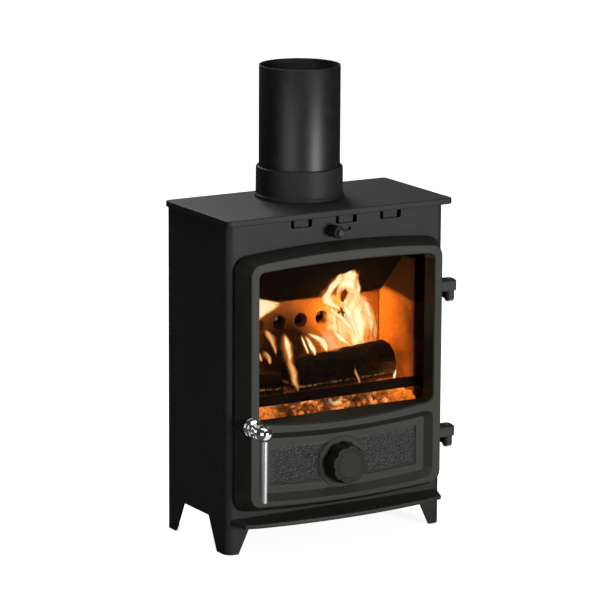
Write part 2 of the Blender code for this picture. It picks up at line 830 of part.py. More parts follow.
q = door_edge_r
door = add("door_casting", loft([door_base(door_back, 0.0012), door_base(door_back - 0.0012, 0),
                                 door_base(bevel_back, 0), ring(ring_y + q, 0),
                                 ring(ring_y + q * 0.35, q * 0.22), ring(ring_y, q)]), cast, door_axis)

# Hinge lugs and the pad under the handle grow out of the door's bevel
for level, z in (("upper", upper_lug_z), ("lower", lower_lug_z)):
    rings = []
    for w, cut in ((z, 0), (z + lug_tall - lug_top_slope, 0), (z + lug_tall, lug_top_slope)):
        r = lug_corner_r - cut * 0.6
        x1 = lug_x - cut
        y0 = hinge_y - lug_front + cut * 1.3
        y1 = lug_back_y
        x0 = door_half - 0.004
        pts = [(x0, y0), (x1 - r, y0)]
        pts += circle(x1 - r, y0 + r, r, 4, -math.pi / 2, math.pi / 2)[1:]
        pts += circle(x1 - r, y1 - r, r, 4, 0, math.pi / 2)
        pts += [(x0, y1)]
        rings.append([Vector((u, v, w)) for u, v in pts])
    lug = loft(rings)
    carve(door, tool("lug_" + level, soften(lug, 0.001), door_axis), "UNION")
carve(door, tool("handle_pad", rod(pad_r, ring_y - pad_rise, seat_y + 0.002, handle_x, handle_z, "Y", 28),
                 door_axis), "UNION")

# Window: bowed sill that rises to the glass, and drafted sides


def window(y, t):
    """Window outline, from the ring face (t = 0) to the seat of the glass (t = 1)."""
    bow = window_sill_bow / (1 - t) if t < 1 else 0
    return outline(window_half - window_draft * t, window_sill + sill_rise * t, bow,
                   window_top - window_draft * t, window_top_bow, window_corner_r, y)


def window_mouth(y):
    """Window outline where its chamfer meets the ring face."""
    return outline(window_half + window_chamfer, window_sill - sill_chamfer, window_sill_bow,
                   window_top + window_chamfer, window_top_bow, window_corner_r + window_chamfer, y)


window_cut = [window_mouth(ring_y - 0.004), window_mouth(ring_y - 0.0001)]
for t in (0.08, 0.45, 1):
    window_cut.append(window(ring_y + glass_inset * t, t))
window_cut.append(window(door_back + 0.002, 1))
carve(door, tool("window", loft(window_cut), door_axis))


def pane(y, grow_by):
    """Outline of the glass and of what lies flat against it."""
    return outline(glass_half + grow_by, glass_bottom - grow_by, 0, glass_top + grow_by,
                   window_top_bow, window_corner_r, y)


carve(door, tool("glass_rebate", loft([pane(seat_y, run_fit), pane(door_back + 0.002, run_fit)]), door_axis))

# Lower panel: bevelled recess, raised round land, two sunk stippled fields, hollow back


def recess(y, inset):
    return outline(panel_half, panel_bottom, panel_bottom_bow, panel_top, -panel_top_bow,
                   panel_corner_r, y, inset)


recess_cut = [recess(ring_y - 0.004, -0.0012), recess(ring_y - 0.0001, -0.0012), recess(ring_y + 0.0012, 0)]
recess_cut += [recess(panel_y - 0.001, panel_bevel - 0.0014), recess(panel_y, panel_bevel)]
carve(door, tool("panel_recess", loft(recess_cut), door_axis))
carve(door, tool("panel_pocket", loft([recess(pocket_y, pocket_margin),
                                       recess(door_back + 0.002, pocket_margin - 0.003)]), door_axis))


def stipple_field(side):
    """Sunk field on one side of the air wheel, its inner end following the round land."""
    outer = panel_half - panel_bevel - stipple_inset
    top = lambda x: stipple_top + sag(x, panel_top_bow)
    low = lambda x: stipple_bottom + sag(x, panel_bottom_bow)
    hold = land_r + 0.0012
    a_top = math.asin((stipple_top - wheel_z) / hold)
    a_low = math.asin((stipple_bottom - wheel_z) / hold)
    pts = []
    for i in range(7):
        a = a_low + (a_top - a_low) * i / 6
        pts.append((wheel_x + side * hold * math.cos(a), wheel_z + hold * math.sin(a)))
    end_x, end_z = pts[-1]
    for i in range(1, 7):
        x = end_x + (side * outer - end_x) * i / 6
        pts.append((x, end_z + top(x) - top(end_x)))
    start_x, start_z = pts[0]
    for i in range(6, 0, -1):
        x = start_x + (side * outer - start_x) * i / 6
        pts.append((x, start_z + low(x) - low(start_x)))
    return prism(pts, "Y", panel_y - 0.003, panel_y + stipple_depth)


carve(door, tool("stipple_fields", merge(stipple_field(-1), stipple_field(1)), door_axis))
carve(door, tool("wheel_land", turned([(0, land_y), (land_r - land_rise, land_y), (land_r, panel_y),
                                       (land_r, panel_y + 0.003), (0, panel_y + 0.003)],
                                      wheel_x, wheel_z, "Y", 36), door_axis), "UNION")
door_bores = rod(stud_r + fit, land_y - 0.003, pocket_y + 0.003, wheel_x, wheel_z, "Y", 16)
for u, v in circle(wheel_x, wheel_z, air_hole_ring, air_hole_count, math.pi / 6):
    merge(door_bores, rod(air_hole_r, land_y - 0.003, pocket_y + 0.003, u, v, "Y", 12))
merge(door_bores, rod(spindle_r + fit, ring_y - 0.004, door_back + 0.004, handle_x, handle_z, "Y", 20))
for z in (upper_lug_z, lower_lug_z):
    merge(door_bores, rod(pin_r + fit, z - 0.002, z + lug_tall + 0.002, hinge_x, hinge_y, "Z", 20))
clips = []
for x in (-clip_x, clip_x):
    hi = glass_top + run_fit - sag(clip_x, window_top_bow)
    clips.append((x, hi, 1))
    clips.append((x, glass_bottom - run_fit, -1))
for x, edge, up in clips:
    merge(door_bores, rod(clip_screw_r + fit, door_back - clip_screw_long - 0.0005, door_back + 0.002,
                          x, edge + up * clip_foot / 2, "Y", 12))
carve(door, tool("door_bores", door_bores, door_axis))

# Glass, its gasket, its clips and the rope round the back of the door
add("glass_gasket", loft([pane(seat_y + fit, -0.0002), pane(seat_y + fit + gasket_thick, -0.0002),
                          pane(seat_y + fit + gasket_thick, -glass_lap + 0.0012),
                          pane(seat_y + fit, -glass_lap + 0.0012)], ends=False), rope, door_axis)
glass_y = seat_y + fit + gasket_thick + fit
add("door_glass", loft([pane(glass_y, 0), pane(glass_y + glass_thick, 0)]), glass, door_axis)
for i, (x, edge, up) in enumerate(clips):
    tag = ("top" if up > 0 else "bottom") + ("_left" if x < 0 else "_right")
    z_in = edge - up * clip_lap
    z_out = edge + up * clip_foot
    y0 = door_back + fit
    plate = box(x - clip_half, x + clip_half, y0, y0 + clip_thick, min(z_in, z_out), max(z_in, z_out))
    screw_z = edge + up * clip_foot / 2
    clip = add("glass_clip_" + tag, soften(plate, 0.0004), dark_iron, door_axis)
    carve(clip, tool("clip_hole_" + tag, rod(clip_screw_r + fit, y0 - 0.002, y0 + clip_thick + 0.002,
                                             x, screw_z, "Y", 12), door_axis))
    y1 = y0 + clip_thick + fit
    tip_y = door_back - clip_screw_long
    add("clip_screw_" + tag, turned(
        [(0, tip_y), (clip_screw_r, tip_y), (clip_screw_r, y1), (clip_screw_head_r, y1),
         (clip_screw_head_r, y1 + 0.0016), (clip_screw_head_r * 0.6, y1 + 0.0024),
         (0, y1 + 0.0024)], x, screw_z, "Y", 12), zinc, door_axis)
add("door_seal", loft([door_base(door_back + fit, seal_inset), door_base(front_y - fit, seal_inset),
                       door_base(front_y - fit, seal_inset + seal_width),
                       door_base(door_back + fit, seal_inset + seal_width)], ends=False), rope, door_axis)

# Screw air wheel on its stud
stud_tip = wheel_front + wheel_cap + wheel_pitch * wheel_turns + 0.002
nut_front = pocket_y + fit
add("air_stud", rod(stud_r, stud_tip, nut_front + stud_nut_thick + 0.002, wheel_x, wheel_z, "Y", 16, 0.0008),
    zinc, door_axis)
add("air_stud_nut", hex_nut(stud_r + fit, stud_nut_r, nut_front, nut_front + stud_nut_thick,
                            wheel_x, wheel_z, "Y"), zinc, door_axis)
wheel_bore_r = stud_r + run_fit


def lobed(r, y, n=wheel_lobes * 6):
    pts = []
    for i in range(n):
        a = 2 * math.pi * i / n
        dip = (0.5 + 0.5 * math.cos(wheel_lobes * (a - math.radians(101)))) ** 3
        s = r - wheel_lobe_depth * dip
        pts.append(Vector((wheel_x + s * math.cos(a), y, wheel_z + s * math.sin(a))))
    return pts


wheel_loops = [lobed(wheel_back_r - 0.0012, wheel_back), lobed(wheel_back_r, wheel_back - 0.0012)]
wheel_loops += [lobed(wheel_r + 0.0004, wheel_front + 0.0020), lobed(wheel_r - 0.0006, wheel_front + 0.0006)]
wheel_loops.append(lobed(wheel_r - 0.0022, wheel_front))
wheel = add("air_wheel", loft(wheel_loops), cast, wheel_axis)
carve(wheel, tool("wheel_bore", turned(
    [(0, wheel_front + wheel_cap), (wheel_bore_r, wheel_front + wheel_cap),
     (wheel_bore_r, wheel_back - washer_thick - 2 * fit),
     (washer_r + fit, wheel_back - washer_thick - 2 * fit),
     (washer_r + fit, wheel_back + 0.002), (0, wheel_back + 0.002)], wheel_x, wheel_z, "Y", 24), wheel_axis))
add("air_wheel_washer", turned([(wheel_bore_r, wheel_back - washer_thick - fit),
                                (washer_r, wheel_back - washer_thick - fit),
                                (washer_r, wheel_back - fit), (wheel_bore_r, wheel_back - fit)],
                               wheel_x, wheel_z, "Y", 24), zinc, wheel_travel)

# Handle: turned boss and ball on the latch spindle, with the hanging grip and the cam
b0 = ring_y - pad_rise - fit
shoulder = inner_front + run_fit
profile = [(0, shoulder + cam_thick + cam_nut_thick + 0.003),
           (cam_stub_r, shoulder + cam_thick + cam_nut_thick + 0.003), (cam_stub_r, shoulder),
           (spindle_r, shoulder), (spindle_r, b0),
           (boss_r, b0), (boss_r + 0.0004, b0 - 0.0012), (boss_r, b0 - 0.0024),
           (boss_r - 0.0016, b0 - 0.0030), (boss_r - 0.0013, b0 - 0.0038),
           (boss_r - 0.0002, b0 - 0.0052), (boss_r - 0.0001, b0 - boss_long + 0.003),
           (boss_r - 0.0015, b0 - boss_long + 0.0008), (boss_r - 0.0042, b0 - boss_long),
           (neck_r + 0.0010, b0 - boss_long - 0.0014), (neck_r, b0 - boss_long - 0.0040)]
ring_back = ball_y + ball_r * 0.80 + 0.0034
profile += [(neck_r, ring_back + 0.0030), (neck_r + 0.0016, ring_back + 0.0012),
            (collar_ring_r - 0.0006, ring_back), (collar_ring_r, ring_back - 0.0011),
            (collar_ring_r - 0.0006, ring_back - 0.0022), (ball_r * 0.68, ring_back - 0.0030)]
for i in range(1, 10):
    a = math.radians(47 + 133 * i / 9)
    profile.append((max(ball_r * math.sin(a), 0), ball_y + ball_r * math.cos(a)))
profile[-1] = (0, ball_y - ball_r)
handle = add("handle_boss", turned(profile, handle_x, handle_z, "Y", 28), chrome, handle_axis)
grip_top = handle_z - 0.004
grip_bottom = handle_z - ball_r - grip_long + 0.004
carve(handle, tool("grip_socket", rod(socket_r, grip_top, handle_z - ball_r - 0.003,
                                      handle_x, ball_y, "Z", 14), handle_axis))
seat_z = handle_z - math.sqrt(ball_r ** 2 - socket_r ** 2) - fit
add("handle_grip", turned([(0, grip_top - fit), (socket_r - 1.3 * fit, grip_top - fit),
                           (socket_r - 1.3 * fit, seat_z), (grip_r - 0.0012, seat_z),
                           (grip_r, seat_z - 0.0014),
                           (grip_end_r, grip_bottom + 0.0016), (grip_end_r - 0.0016, grip_bottom),
                           (0, grip_bottom)], handle_x, ball_y, "Z", 20), satin, handle_axis)

# Latch cam: round hub with a nose that points to the casing's edge while the grip hangs down
cam_y = shoulder + fit
nose = cam_nose
cam_pts = circle(handle_x, handle_z, cam_hub_r, 14, math.radians(-140), math.radians(280))
cam_pts += [(handle_x - cam_reach + 0.001, handle_z + nose), (handle_x - cam_reach, handle_z + nose - 0.001),
            (handle_x - cam_reach, handle_z - nose + 0.001), (handle_x - cam_reach + 0.001, handle_z - nose)]
cam = add("latch_cam", prism(cam_pts, "Y", cam_y, cam_y + cam_thick - fit), dark_iron, handle_axis)
carve(cam, tool("cam_bore", rod(cam_stub_r + fit, cam_y - 0.002, cam_y + cam_thick + 0.002,
                                handle_x, handle_z, "Y", 16), handle_axis))
cam_nut_y = shoulder + cam_thick + fit
add("cam_nut", hex_nut(cam_stub_r + fit, cam_nut_r, cam_nut_y, cam_nut_y + cam_nut_thick,
                       handle_x, handle_z, "Y"), zinc, handle_axis)

# Hinge brackets on the casing's side, their pins and screws
for level, lug_z in (("upper", upper_lug_z), ("lower", lower_lug_z)):
    top = lug_z - fit
    bottom = top - knuckle_tall
    inner = side_x + fit
    pts = [(inner, hinge_y + arm_reach), (inner, front_y + front_corner_r)]
    a0 = math.acos((inner - hinge_x) / knuckle_r)
    pts += circle(hinge_x, hinge_y, knuckle_r, 16, a0, math.radians(420) - a0)
    pts += [(inner + arm_thick, hinge_y + 0.016), (inner + arm_thick, hinge_y + arm_reach)]
    bracket = add("hinge_bracket_" + level, soften(prism(pts, "Z", bottom, top), 0.0008), cast)
    bores = rod(pin_r + fit, bottom - 0.002, top + 0.002, hinge_x, hinge_y, "Z", 20)
    merge(bores, rod(hinge_screw_r + fit, inner - 0.002, inner + arm_thick + 0.002,
                     hinge_screw_y, bottom + knuckle_tall / 2, "X", 12))
    carve(bracket, tool("bracket_bores_" + level, bores))
    add("hinge_pin_" + level, turned(
        [(0, bottom - fit - pin_head_thick), (pin_head_r - 0.0006, bottom - fit - pin_head_thick),
         (pin_head_r, bottom - fit - pin_head_thick + 0.0006), (pin_head_r, bottom - fit),
         (pin_r, bottom - fit), (pin_r, lug_z + lug_tall - 2 * pin_tip),
         (pin_r - pin_tip, lug_z + lug_tall - pin_tip), (0, lug_z + lug_tall - pin_tip)],
        hinge_x, hinge_y, "Z", 20), zinc)
    head = inner + arm_thick + fit
    add("hinge_screw_" + level, turned(
        [(0, inner_x - 0.001), (hinge_screw_r, inner_x - 0.001), (hinge_screw_r, head),
         (hinge_screw_head_r, head), (hinge_screw_head_r, head + 0.002), (0, head + 0.002)],
        hinge_screw_y, bottom + knuckle_tall / 2, "X", 12), zinc)

# Top air slide behind the casing front, its knob and its two keepers
sy = inner_front + fit
slide_pts = []
slide_left = slot_centre - slot_pitch - slot_wide / 2 + slide_tab_left - slide_end
slide_right = slot_centre + slot_pitch + slot_wide / 2 + slide_end
slide_pts += [(slide_left, slide_bar_bottom), (slide_right, slide_bar_bottom), (slide_right, slide_bar_top)]
tab_top = slot_top + 0.0014
for i in (1, 0, -1):
    left = slot_centre + i * slot_pitch - slot_wide / 2
    x1 = left + slot_wide - slide_tab_right
    x0 = left + slide_tab_left
    slide_pts += [(x1, slide_bar_top), (x1, tab_top), (x0, tab_top), (x0, slide_bar_top)]
slide_pts += [(slide_left, slide_bar_top)]
slide = add("airwash_slide", prism(slide_pts, "Y", sy, sy + slide_thick), dark_iron, air_slide)
carve(slide, tool("stem_hole", rod(knob_stem_r + fit, sy - 0.002, sy + slide_thick + 0.002,
                                   knob_x, knob_z, "Y", 12), air_slide))
ky = front_y - knob_stand
flange_y = sy + slide_thick + fit
add("airwash_knob", turned(
    [(0, flange_y + knob_flange_thick), (knob_stem_r + knob_flange, flange_y + knob_flange_thick),
     (knob_stem_r + knob_flange, flange_y), (knob_stem_r, flange_y),
     (knob_stem_r, ky), (knob_r - 0.001, ky), (knob_r, ky - 0.0012), (knob_r, ky - knob_long * 0.45),
     (knob_r - 0.0006, ky - knob_long + 0.0022), (knob_r - 0.0022, ky - knob_long),
     (knob_boss_r + 0.0008, ky - knob_long - 0.0004), (knob_boss_r, ky - knob_long - 0.0014),
     (knob_boss_r - 0.0004, ky - knob_long - knob_boss_long + 0.001),
     (knob_boss_r - 0.0016, ky - knob_long - knob_boss_long), (0, ky - knob_long - knob_boss_long)],
    knob_x, knob_z, "Y", 24), cast, air_slide)
for side, i in (("left", -0.5), ("right", 0.5)):
    x = slot_centre + i * keeper_pitch
    zk = slide_bar_bottom - fit
    y_back = sy + slide_thick + fit + keeper_thick
    pts = [(sy, zk), (sy, zk - keeper_drop), (y_back, zk - keeper_drop), (y_back, zk + keeper_hold),
           (y_back - keeper_thick, zk + keeper_hold), (y_back - keeper_thick, zk)]
    add("slide_keeper_" + side, prism(pts, "X", x - keeper_half, x + keeper_half), dark_iron)

# Air deflector hanging from the top plate, above and behind the glass
dy = deflector_y
ds = deflector_sheet
dz = casing_height - fit
kick = deflector_kick
pts = [(dy, dz), (dy + deflector_flange, dz), (dy + deflector_flange, dz - ds), (dy + ds, dz - ds),
       (dy + ds, dz - deflector_drop), (dy + ds - kick, dz - deflector_drop - kick * 0.7),
       (dy - kick, dz - deflector_drop - kick * 0.7 + ds), (dy, dz - deflector_drop + ds)]
add("air_deflector", prism(pts, "X", -deflector_half, deflector_half), dark_iron)

# Rails on the side walls that carry the bricks and the grate
rail_y0 = inner_front + rail_front
rail_y1 = panel_front_y - fit
for side, s in (("left", -1), ("right", 1)):
    x0 = s * (inner_x - fit)
    x1 = s * (inner_x - fit - sheet)
    x2 = s * (inner_x - fit - rail_wide)
    pts = [(x0, rail_top), (x2, rail_top), (x2, rail_top - sheet), (x1, rail_top - sheet),
           (x1, rail_top - rail_tall), (x0, rail_top - rail_tall)]
    add("grate_rail_" + side, prism(pts, "Y", rail_y0, rail_y1), dark_iron)

# Fire bricks and the throat plate that lies on their sloping tops
bz = rail_top + fit
side_face = inner_x - fit - brick_side_thick
for side, s in (("left", -1), ("right", 1)):
    pts = [(front_y + brick_front, bz), (rail_y1, bz), (rail_y1, throat_low), (brick_rear_face, throat_low),
           (throat_front, throat_high), (front_y + brick_front, throat_high)]
    slab = prism(pts, "X", s * side_face, s * (inner_x - fit))
    add(side + "_fire_brick", soften(slab, 0.0015), brick)
rear_x = side_face - fit
rear = add("rear_fire_brick", soften(box(-rear_x, rear_x, brick_rear_face, brick_rear_face + brick_rear_thick,
                                         bz, brick_rear_top), 0.0015), brick)
air_holes = bmesh.new()
for i in range(rear_hole_count):
    x = (i - (rear_hole_count - 1) / 2) * rear_hole_pitch
    merge(air_holes, rod(rear_hole_r, brick_rear_face - 0.005, brick_rear_face + brick_rear_thick + 0.005,
                         x, rear_hole_z, "Y", 16))
carve(rear, tool("rear_air_holes", air_holes))
slope = math.atan2(throat_high - throat_low, brick_rear_face - throat_front)
nx, nz = math.sin(slope), math.cos(slope)
base_a = (brick_rear_face - 0.001, throat_low + 0.001)
base_b = (throat_front, throat_high)
pts = []
for (y, z), t in ((base_a, fit * 2), (base_b, fit * 2), (base_b, baffle_thick), (base_a, baffle_thick)):
    pts.append((y + nx * t, z + nz * t))
add("throat_plate", prism(pts, "X", -(inner_x - 0.002), inner_x - 0.002), dark_iron)

# Channel that feeds the holes in the rear brick
cy0 = brick_rear_face + brick_rear_thick + fit
cy1 = panel_front_y - fit
ch = channel_tall / 2
cs = channel_sheet
pts = [(cy0, rear_hole_z - ch), (cy1, rear_hole_z - ch), (cy1, rear_hole_z + ch), (cy0, rear_hole_z + ch),
       (cy0, rear_hole_z + ch - cs), (cy1 - cs, rear_hole_z + ch - cs), (cy1 - cs, rear_hole_z - ch + cs),
       (cy0, rear_hole_z - ch + cs)]
channel = add("rear_air_channel", prism(pts, "X", -channel_half, channel_half), dark_iron)
vents = bmesh.new()
vent_half = inlet_half - vent_margin
vent_tall = inlet_tall / 2 - vent_margin
for i in (-1, 0, 1):
    merge(vents, box(i * inlet_pitch - vent_half, i * inlet_pitch + vent_half, cy1 - cs - 0.002, cy1 + 0.002,
                     rear_hole_z - vent_tall, rear_hole_z + vent_tall))
carve(channel, tool("channel_vents", vents))

# Slotted grate with two hooks that carry the sliding riddle plate
gz0 = bz
gz1 = bz + grate_thick
gx = side_face - 0.0012
hx = riddle_half + run_fit
hz = gz0 - riddle_thick - 2 * run_fit
hf = hz - hook_lip
half = [(gx, gz1), (gx, gz0), (hx + hook_sheet, gz0), (hx + hook_sheet, hf), (hx - hook_foot, hf),
        (hx - hook_foot, hz), (hx, hz), (hx, gz0)]
pts = half + [(-x, z) for x, z in half[::-1]]
grate_y0 = inner_front + grate_front
grate_y1 = brick_rear_face - 0.0012
grate = add("slotted_grate", prism(pts, "Y", grate_y0, grate_y1), dark_iron)
grate_mid = (grate_y0 + grate_y1) / 2
riddle_y0 = grate_y0 + riddle_travel + 0.001
riddle_y1 = grate_y1 - riddle_travel - 0.001
grate_slot_pitch = (riddle_y1 - riddle_y0 - 2 * riddle_end - grate_slot_wide) / (grate_slot_rows - 1)


def slot_block(z0, z1):
    bm = bmesh.new()
    for r in range(grate_slot_rows):
        y = grate_mid + (r - (grate_slot_rows - 1) / 2) * grate_slot_pitch
        for c in range(grate_columns):
            x = (c - (grate_columns - 1) / 2) * grate_column_pitch
            merge(bm, box(x - grate_slot_long / 2, x + grate_slot_long / 2, y - grate_slot_wide / 2,
                          y + grate_slot_wide / 2, z0, z1))
    return bm


carve(grate, tool("grate_slots", slot_block(gz0 - 0.002, gz1 + 0.002)))
rz1 = gz0 - run_fit
rz0 = rz1 - riddle_thick
tab = riddle_tab_half
tab_y = riddle_y0 - riddle_tab_reach
pts = [(-riddle_half, riddle_y1), (-riddle_half, riddle_y0), (-tab, riddle_y0), (-tab, tab_y),
       (tab, tab_y), (tab, riddle_y0), (riddle_half, riddle_y0), (riddle_half, riddle_y1)]
riddle = add("riddle_plate", prism(pts, "Z", rz0, rz1), dark_iron, riddle_slide)
carve(riddle, tool("riddle_slots", slot_block(rz0 - 0.002, rz1 + 0.002), riddle_slide))

# Log guard and its U brackets on the side walls
w = guard_bracket_wall
gy = guard_bar_y
gt = guard_bar_thick / 2
add("log_guard", soften(box(-guard_bar_half, guard_bar_half, gy - gt, gy + gt, guard_bar_bottom,
                            guard_bar_bottom + guard_bar_tall), 0.0006), dark_iron)
for side, s in (("left", -1), ("right", 1)):
    low = guard_bar_bottom - fit
    high = low + guard_bracket_tall
    under = low - w * 1.6
    o = gt + fit
    pts = [(gy - o, low), (gy - o, high), (gy - o - w, high), (gy - o - w, under),
           (gy + o + w, under), (gy + o + w, high), (gy + o, high), (gy + o, low)]
    wall = s * (inner_x - fit)
    add("guard_bracket_" + side, prism(pts, "X", wall - s * guard_bracket_reach, wall), dark_iron)

# Ash pan on the base plate, with a bent bar as its handle
pz = base_top + fit
pan = add("ash_pan", soften(box(-pan_half, pan_half, pan_front, pan_back, pz, pz + pan_tall), 0.003, 2),
          pan_steel)
carve(pan, tool("pan_hollow", box(-pan_half + pan_wall, pan_half - pan_wall, pan_front + pan_wall,
                                  pan_back - pan_wall, pz + pan_wall, pz + pan_tall + 0.01)))
hw = pan_handle_half
hb = pan_handle_bar
hy = pan_front - fit
pts = [(-hw, hy), (-hw, hy - pan_handle_reach), (hw, hy - pan_handle_reach), (hw, hy), (hw - hb, hy),
       (hw - hb, hy - pan_handle_reach + hb), (-hw + hb, hy - pan_handle_reach + hb), (-hw + hb, hy)]
add("ash_pan_handle", soften(prism(pts, "Z", pan_handle_z, pan_handle_z + hb), 0.0008), pan_steel)

# Bed of embers with a brow behind the guard bar, and the two logs that lie in it
ex = side_face - ember_side_gap
ey0 = inner_front + ember_front_gap
ey1 = brick_rear_face - ember_back_gap
ez = gz1 + fit


right_x = side_face - front_log_side_gap
left_x = -(side_face - left_log_side_gap)


def ember_height(x, y):
    brow = min(1.0, 0.5 + 0.5 * (y - ey0) / ember_brow)
    back = ember_fall * (y - ey0) / (ey1 - ey0)
    wave = 2 * math.pi / ember_lump
    lumps = math.sin(wave * x + 2.1 * math.sin(wave * y / 2)) * math.cos(wave * y + math.sin(wave * x / 3))
    u = (x - right_x + ember_mound_long) / ember_mound_long
    v = (y - front_log_right_y) / ember_mound_wide
    mound = ember_mound * math.exp(-u * u - v * v)
    return ez + (ember_tall - back) * brow + ember_swell * lumps + mound


bm = bmesh.new()
top = []
for j in range(ember_rows + 1):
    y = ey0 + (ey1 - ey0) * j / ember_rows
    row = [ex * (2 * i / ember_columns - 1) for i in range(ember_columns + 1)]
    top.append([bm.verts.new((x, y, ember_height(x, y))) for x in row])
for a, b in zip(top, top[1:]):
    for i in range(ember_columns):
        bm.faces.new((a[i], a[i + 1], b[i + 1], b[i]))
rim = top[0] + [row[-1] for row in top[1:-1]] + top[-1][::-1] + [row[0] for row in top[-2:0:-1]]
foot = [bm.verts.new((v.co.x, v.co.y, ez)) for v in rim]
for i in range(len(rim)):
    j = (i + 1) % len(rim)
    bm.faces.new((rim[i], rim[j], foot[j], foot[i]))
bm.faces.new(foot[::-1])
bmesh.ops.recalc_face_normals(bm, faces=bm.faces[:])
bmesh.ops.triangulate(bm, faces=bm.faces[:])
ember_bed = add("ember_bed", bm, embers)


def log_shape(left, right, r, phase, grow=0.0):
    """Uneven round log between the centres of its ends."""
    axis = (right - left).normalized()
    side = axis.cross(Vector((0, 0, 1))).normalized()
    up = side.cross(axis)
    left = left - axis * grow
    right = right + axis * grow
    loops = []
    for i in range(log_stations + 1):
        s = i / log_stations
        end = min(s, 1 - s) * log_stations
        s = (0.02 if s < 0.5 else 0.98) if end == 1 else s
        shrink = (0.84, 0.97)[int(end)] if end < 2 else 1.0
        loop = []
        for k in range(log_sides):
            a = 2 * math.pi * k / log_sides
            swell = 0.025 * math.sin(2 * a + 5 * s + phase) + 0.02 * math.cos(3 * a - 8 * s + phase)
            reach = r * shrink * (1 + swell) + grow
            loop.append(left.lerp(right, s) + side * reach * math.cos(a) + up * reach * math.sin(a))
        loops.append(loop)
    bm = loft(loops)
    bmesh.ops.triangulate(bm, faces=bm.faces[:])
    return bm


for name, a, b, r, phase in (
        ("front_log", Vector((right_x - front_log_long, front_log_left_y, gz1 + front_log_left_rise)),
         Vector((right_x, front_log_right_y, gz1 + front_log_right_rise)), front_log_r, 0.4),
        ("left_log", Vector((left_x, left_log_left_y, gz1 + left_log_left_rise)),
         Vector((left_x + left_log_long, left_log_right_y, gz1 + left_log_right_rise)), left_log_r, 2.0)):
    carve(ember_bed, tool(name + "_hollow", log_shape(a, b, r, phase, fit)))
    add(name, log_shape(a, b, r, phase), charred_wood)
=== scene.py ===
import json
import math
import random

import bmesh
import bpy
from mathutils import Matrix, Vector, noise

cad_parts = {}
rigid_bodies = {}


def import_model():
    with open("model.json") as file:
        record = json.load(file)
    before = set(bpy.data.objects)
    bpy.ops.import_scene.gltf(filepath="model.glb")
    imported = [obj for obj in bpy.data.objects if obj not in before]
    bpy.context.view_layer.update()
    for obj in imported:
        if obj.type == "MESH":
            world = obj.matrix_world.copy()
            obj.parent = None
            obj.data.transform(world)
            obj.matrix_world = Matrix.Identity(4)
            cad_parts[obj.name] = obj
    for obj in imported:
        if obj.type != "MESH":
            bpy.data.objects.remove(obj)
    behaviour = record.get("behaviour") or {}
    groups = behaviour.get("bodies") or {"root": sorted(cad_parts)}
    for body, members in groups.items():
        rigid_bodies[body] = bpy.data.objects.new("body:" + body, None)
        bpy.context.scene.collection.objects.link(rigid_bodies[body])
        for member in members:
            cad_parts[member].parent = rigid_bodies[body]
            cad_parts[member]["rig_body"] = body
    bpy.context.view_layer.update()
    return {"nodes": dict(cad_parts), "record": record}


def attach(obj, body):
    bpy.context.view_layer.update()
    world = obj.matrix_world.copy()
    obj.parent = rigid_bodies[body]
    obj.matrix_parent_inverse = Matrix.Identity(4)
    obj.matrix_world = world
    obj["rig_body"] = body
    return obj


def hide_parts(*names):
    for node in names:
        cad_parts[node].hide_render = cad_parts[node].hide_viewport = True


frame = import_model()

nodes = frame["nodes"]

# Sizes in metres. The stove's own centre line stands at (centre_x, centre_y) in the frame.
centre_x = -0.00225
centre_y = 0.0421


def at(x, y, z):
    """Point given in millimetres from the casing's centre, floor at z = 0."""
    return Vector((x / 1000 + centre_x, y / 1000 + centre_y, z / 1000))


# ---------------------------------------------------------------- shader helpers


def node(tree, kind, values=None, **settings):
    made = tree.nodes.new(kind)
    for key, value in settings.items():
        setattr(made, key, value)
    for key, value in (values or {}).items():
        if isinstance(value, bpy.types.NodeSocket):
            tree.links.new(value, made.inputs[key])
        else:
            made.inputs[key].default_value = value
    return made


def ramp(tree, factor, stops):
    made = tree.nodes.new("ShaderNodeValToRGB")
    tree.links.new(factor, made.inputs["Fac"])
    elements = made.color_ramp.elements
    while len(elements) < len(stops):
        elements.new(0.5)
    for element, (place, colour) in zip(elements, stops):
        element.position = place
        element.color = (*colour, 1.0) if len(colour) == 3 else colour
    return made.outputs["Color"]


def remap(tree, value, low, high, to_low=0.0, to_high=1.0):
    made = node(tree, "ShaderNodeMapRange", {"Value": value, "From Min": low, "From Max": high,
                                             "To Min": to_low, "To Max": to_high})
    return made.outputs["Result"]


def blend(tree, factor, a, b, mode="MIX"):
    made = tree.nodes.new("ShaderNodeMix")
    made.data_type = "RGBA"
    made.blend_type = mode
    for socket, value in ((made.inputs[0], factor), (made.inputs[6], a), (made.inputs[7], b)):
        if isinstance(value, bpy.types.NodeSocket):
            tree.links.new(value, socket)
        else:
            socket.default_value = value
    return made.outputs[2]


def calc(tree, operation, *values):
    made = tree.nodes.new("ShaderNodeMath")
    made.operation = operation
    for socket, value in zip(made.inputs, values):
        if isinstance(value, bpy.types.NodeSocket):
            tree.links.new(value, socket)
        else:
            socket.default_value = value
    return made.outputs[0]


def group(name, inputs, outputs):
    tree = bpy.data.node_groups.new(name, "ShaderNodeTree")
    for label, kind, value in inputs:
        socket = tree.interface.new_socket(name=label, in_out="INPUT", socket_type=kind)
        socket.default_value = value
    for label, kind in outputs:
        tree.interface.new_socket(name=label, in_out="OUTPUT", socket_type=kind)
    return tree, tree.nodes.new("NodeGroupInput").outputs, tree.nodes.new("NodeGroupOutput").inputs


def use(mat, tree, values):
    """Put a shader group in a material and set its named inputs."""
    made = mat.node_tree.nodes.new("ShaderNodeGroup")
    made.node_tree = tree
    for key, value in values.items():
        if isinstance(value, bpy.types.NodeSocket):
            mat.node_tree.links.new(value, made.inputs[key])
        else:
            made.inputs[key].default_value = value
    return made.outputs


